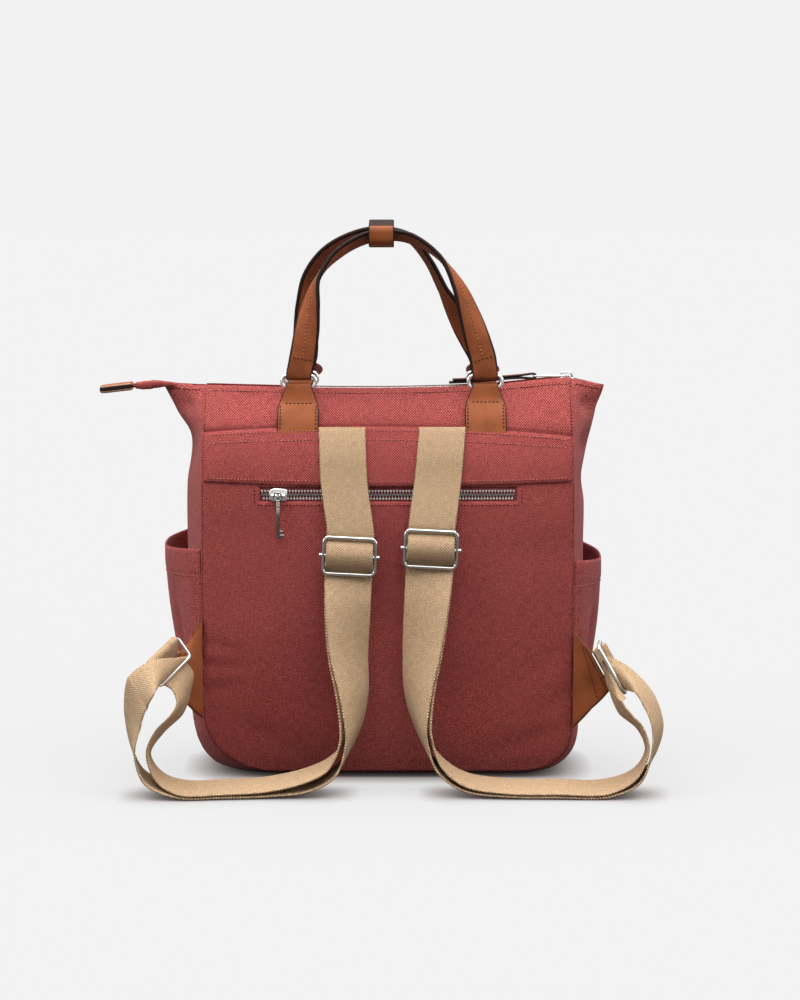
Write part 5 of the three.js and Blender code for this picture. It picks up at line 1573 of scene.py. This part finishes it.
def build_corner_ring(side):
    size = CORNER_RING
    bar, along, across = ring_axes(side)
    middle = bar + across * size["wide"] / 2
    path = rounded_path(middle, along, across, size["long"], size["wide"], size["corner"])
    ring = new_object(f"corner_ring_wire_{side}", tube(path, size["wire"], True, 16), [nickel])
    place(ring, "nickel", f"corner_ring_{side}")


def tab_end(side):
    return vec(*CORNER_TABS[side]["end"]) * vec(SIGN[side], 1, 1)


def build_corner_tab(side):
    """Leather tab that narrows from the side seam to the ring."""
    size = CORNER_TABS[side]
    _, along, _ = ring_axes(side)
    seam_depth = float(half_depth((size["low"] + size["high"]) / 2)) + 1
    seam = vec(SIGN[side] * (HALF_WIDTH + 0.8), -seam_depth, 0)
    low_seam, high_seam = seam + UP * size["low"], seam + UP * size["high"]
    half_end = along * size["end_width"] / 2
    lows = [mix(low_seam, tab_end(side) - half_end, way) for way in (0, 0.5, 1)]
    highs = [mix(high_seam, tab_end(side) + half_end, way) for way in (0, 0.5, 1)]
    over = np.array(highs) - np.array(lows)
    strip = Ribbon(lows + over / 2, unit(over), np.linalg.norm(over, axis=1), 2 * LEATHER, 1.0)
    obj = strip.build(f"corner_leather_{side}", [leather, look["leather_raw"]], 12)
    place(obj, "leather", f"corner_tab_{side}")
    for face in (-1, 1):
        for inset in (2.2, 8.0):
            stitch_row("brown", *strip.cross(strip.length[-1] - inset, face, 3), **CORNER_STITCH)


def build_corner_loop(side):
    """Short webbing loop from the leather tab round the other bar of the ring."""
    strap_bar, along, across = ring_axes(side)
    bar = strap_bar + across * CORNER_RING["wide"]
    away = bar - tab_end(side)
    away = away - along * np.dot(away, along)
    foot = bar - away + unit(away) * CORNER_LOOP["overlap"]
    cross = unit(np.cross(along, unit(away)))
    bend = turn_round(bar, cross, unit(away), CORNER_BEND, (0, 45, 90, 135, 180))
    points = [foot + cross * CORNER_LOOP["half_gap"], *bend, foot - cross * CORNER_LOOP["half_gap"]]
    strip = Ribbon(points, along, CORNER_LOOP["width"], WEBBING, 0.8)
    place(strip.build(f"corner_webbing_{side}", [webbing], 10, wave=0.2), "webbing", f"corner_loop_{side}")


for side in SIDES:
    build_strap_slider(side)
    build_strap(side)
    build_corner_ring(side)
    build_corner_tab(side)
    build_corner_loop(side)

for kind, slot in (("red", "canvas"), ("rose", "canvas"), ("brown", "leather"), ("tan", "leather")):
    build_stitches(kind, slot)


# Floor, light and camera

FLOOR_REACH, FLOOR_NEAR = 2000000, -400000
FLOOR_GREY = 0.115
FLOOR_GLOW = 0.628
FLOOR_BOUNCE = 0.08
FLOOR_CONTACT = 0.026
FLOOR_SHADE = (1.0, 0.86, 0.84)     # warm tint where the bag and straps shade the floor
WHITE = (1, 1, 1)
SURROUND = 0.885
LIGHT_AXIS = (-0.03, -0.07, 1.0)
LIGHT_POWER = 4.8
LIGHT_FILL = 0.08
LIGHT_GLINT = 0.5                   # the paler studio that only reflections show
FRONT_AXIS = (0.38, -0.85, 0.42)
FRONT_POWER = 0.6
SIDE_AXIS = (0.9, -0.32, 0.3)
SIDE_LIGHTS = {"left": 3.6, "right": 3.0}


def build_floor():
    """Wide pale floor that glows for the camera, with a painted contact shadow where the bag stands near; the
    light that it throws back onto the bag is kept low.
    """
    verts = [(-FLOOR_REACH, FLOOR_NEAR, 0), (FLOOR_REACH, FLOOR_NEAR, 0),
             (FLOOR_REACH, FLOOR_REACH, 0), (-FLOOR_REACH, FLOOR_REACH, 0)]
    material, n, shader = node_material("floor", times(WHITE, FLOOR_GREY), 0.9, specular=0.0)
    seen = n.add("ShaderNodeLightPath").outputs["Is Camera Ray"]
    near = n.add("ShaderNodeAmbientOcclusion", samples=8)
    near.inputs["Distance"].default_value = FLOOR_CONTACT
    open_sky = near.outputs["AO"]
    grey = n.blend(open_sky, times(FLOOR_SHADE, FLOOR_GREY), times(WHITE, FLOOR_GREY))
    n.link(n.blend(seen, times(WHITE, FLOOR_BOUNCE), grey), shader.inputs["Base Color"])
    n.link(n.blend(open_sky, FLOOR_SHADE, WHITE), shader.inputs["Emission Color"])
    # the glow fades by ambient occlusion near the bag: a painted contact shadow
    glow = n.math("MULTIPLY", open_sky, FLOOR_GLOW)
    n.link(n.math("MULTIPLY", seen, glow), shader.inputs["Emission Strength"])
    floor = new_object("floor", (verts, [(0, 1, 2, 3)]), [material])


def soft_light(n, axis, rim, full, power):
    """A round light on the sky about an axis; rim and full are the cosines where it begins and is full."""
    lean = n.add("ShaderNodeVectorMath", operation="DOT_PRODUCT")
    n.link(n.add("ShaderNodeTexCoord").outputs["Generated"], lean.inputs[0])
    lean.inputs[1].default_value = unit(axis)
    return n.math("MULTIPLY", n.ramp(lean.outputs["Value"], (rim, 0), (full, 1)), power)


def build_light():
    """A pale surround with one large soft light overhead and smaller ones in front and at the sides."""
    world = bpy.data.worlds.new("studio")
    world.use_nodes = True
    bpy.context.scene.world = world
    n = Nodes(world.node_tree)
    fill = n.math("ADD", soft_light(n, FRONT_AXIS, 0.93, 0.96, FRONT_POWER), LIGHT_FILL)
    for side, power in SIDE_LIGHTS.items():
        axis = vec(*SIDE_AXIS) * vec(SIGN[side], 1, 1)
        fill = n.math("ADD", fill, soft_light(n, axis, 0.93, 0.97, power))
    path = n.add("ShaderNodeLightPath")
    fill = n.math("ADD", fill, n.math("MULTIPLY", path.outputs["Is Glossy Ray"], LIGHT_GLINT))
    low = n.blend(path.outputs["Is Camera Ray"], fill, times(WHITE, SURROUND))
    overhead = soft_light(n, LIGHT_AXIS, 0.71, 0.81, LIGHT_POWER)
    background = world.node_tree.nodes["Background"]
    n.link(n.blend(1.0, low, overhead, "ADD"), background.inputs["Color"])
    background.inputs["Strength"].default_value = 1.0
    bpy.context.scene.view_settings.view_transform = "Standard"


SENSOR = 36.0
PHOTO_FOCAL, PHOTO_HEIGHT = 2397.0, 1000.0      # in pixels of the photo
EYE = (0.010, -2.0, 0.450)                      # in metres
PITCH = 6.406                                   # degrees below the horizon
FAR = 5000.0


def build_camera():
    """Camera of the photo: eye height, slight downward pitch, long lens."""
    camera = bpy.data.cameras.new("camera")
    camera.sensor_width = SENSOR
    camera.sensor_fit = "AUTO"
    camera.lens = SENSOR * PHOTO_FOCAL / PHOTO_HEIGHT
    camera.clip_end = FAR
    obj = bpy.data.objects.new("camera", camera)
    obj.location = EYE
    obj.rotation_euler = (math.radians(90 - PITCH), 0, 0)
    bpy.context.scene.collection.objects.link(obj)
    bpy.context.scene.camera = obj


build_floor()
build_light()
build_camera()

bpy.context.view_layer.update()
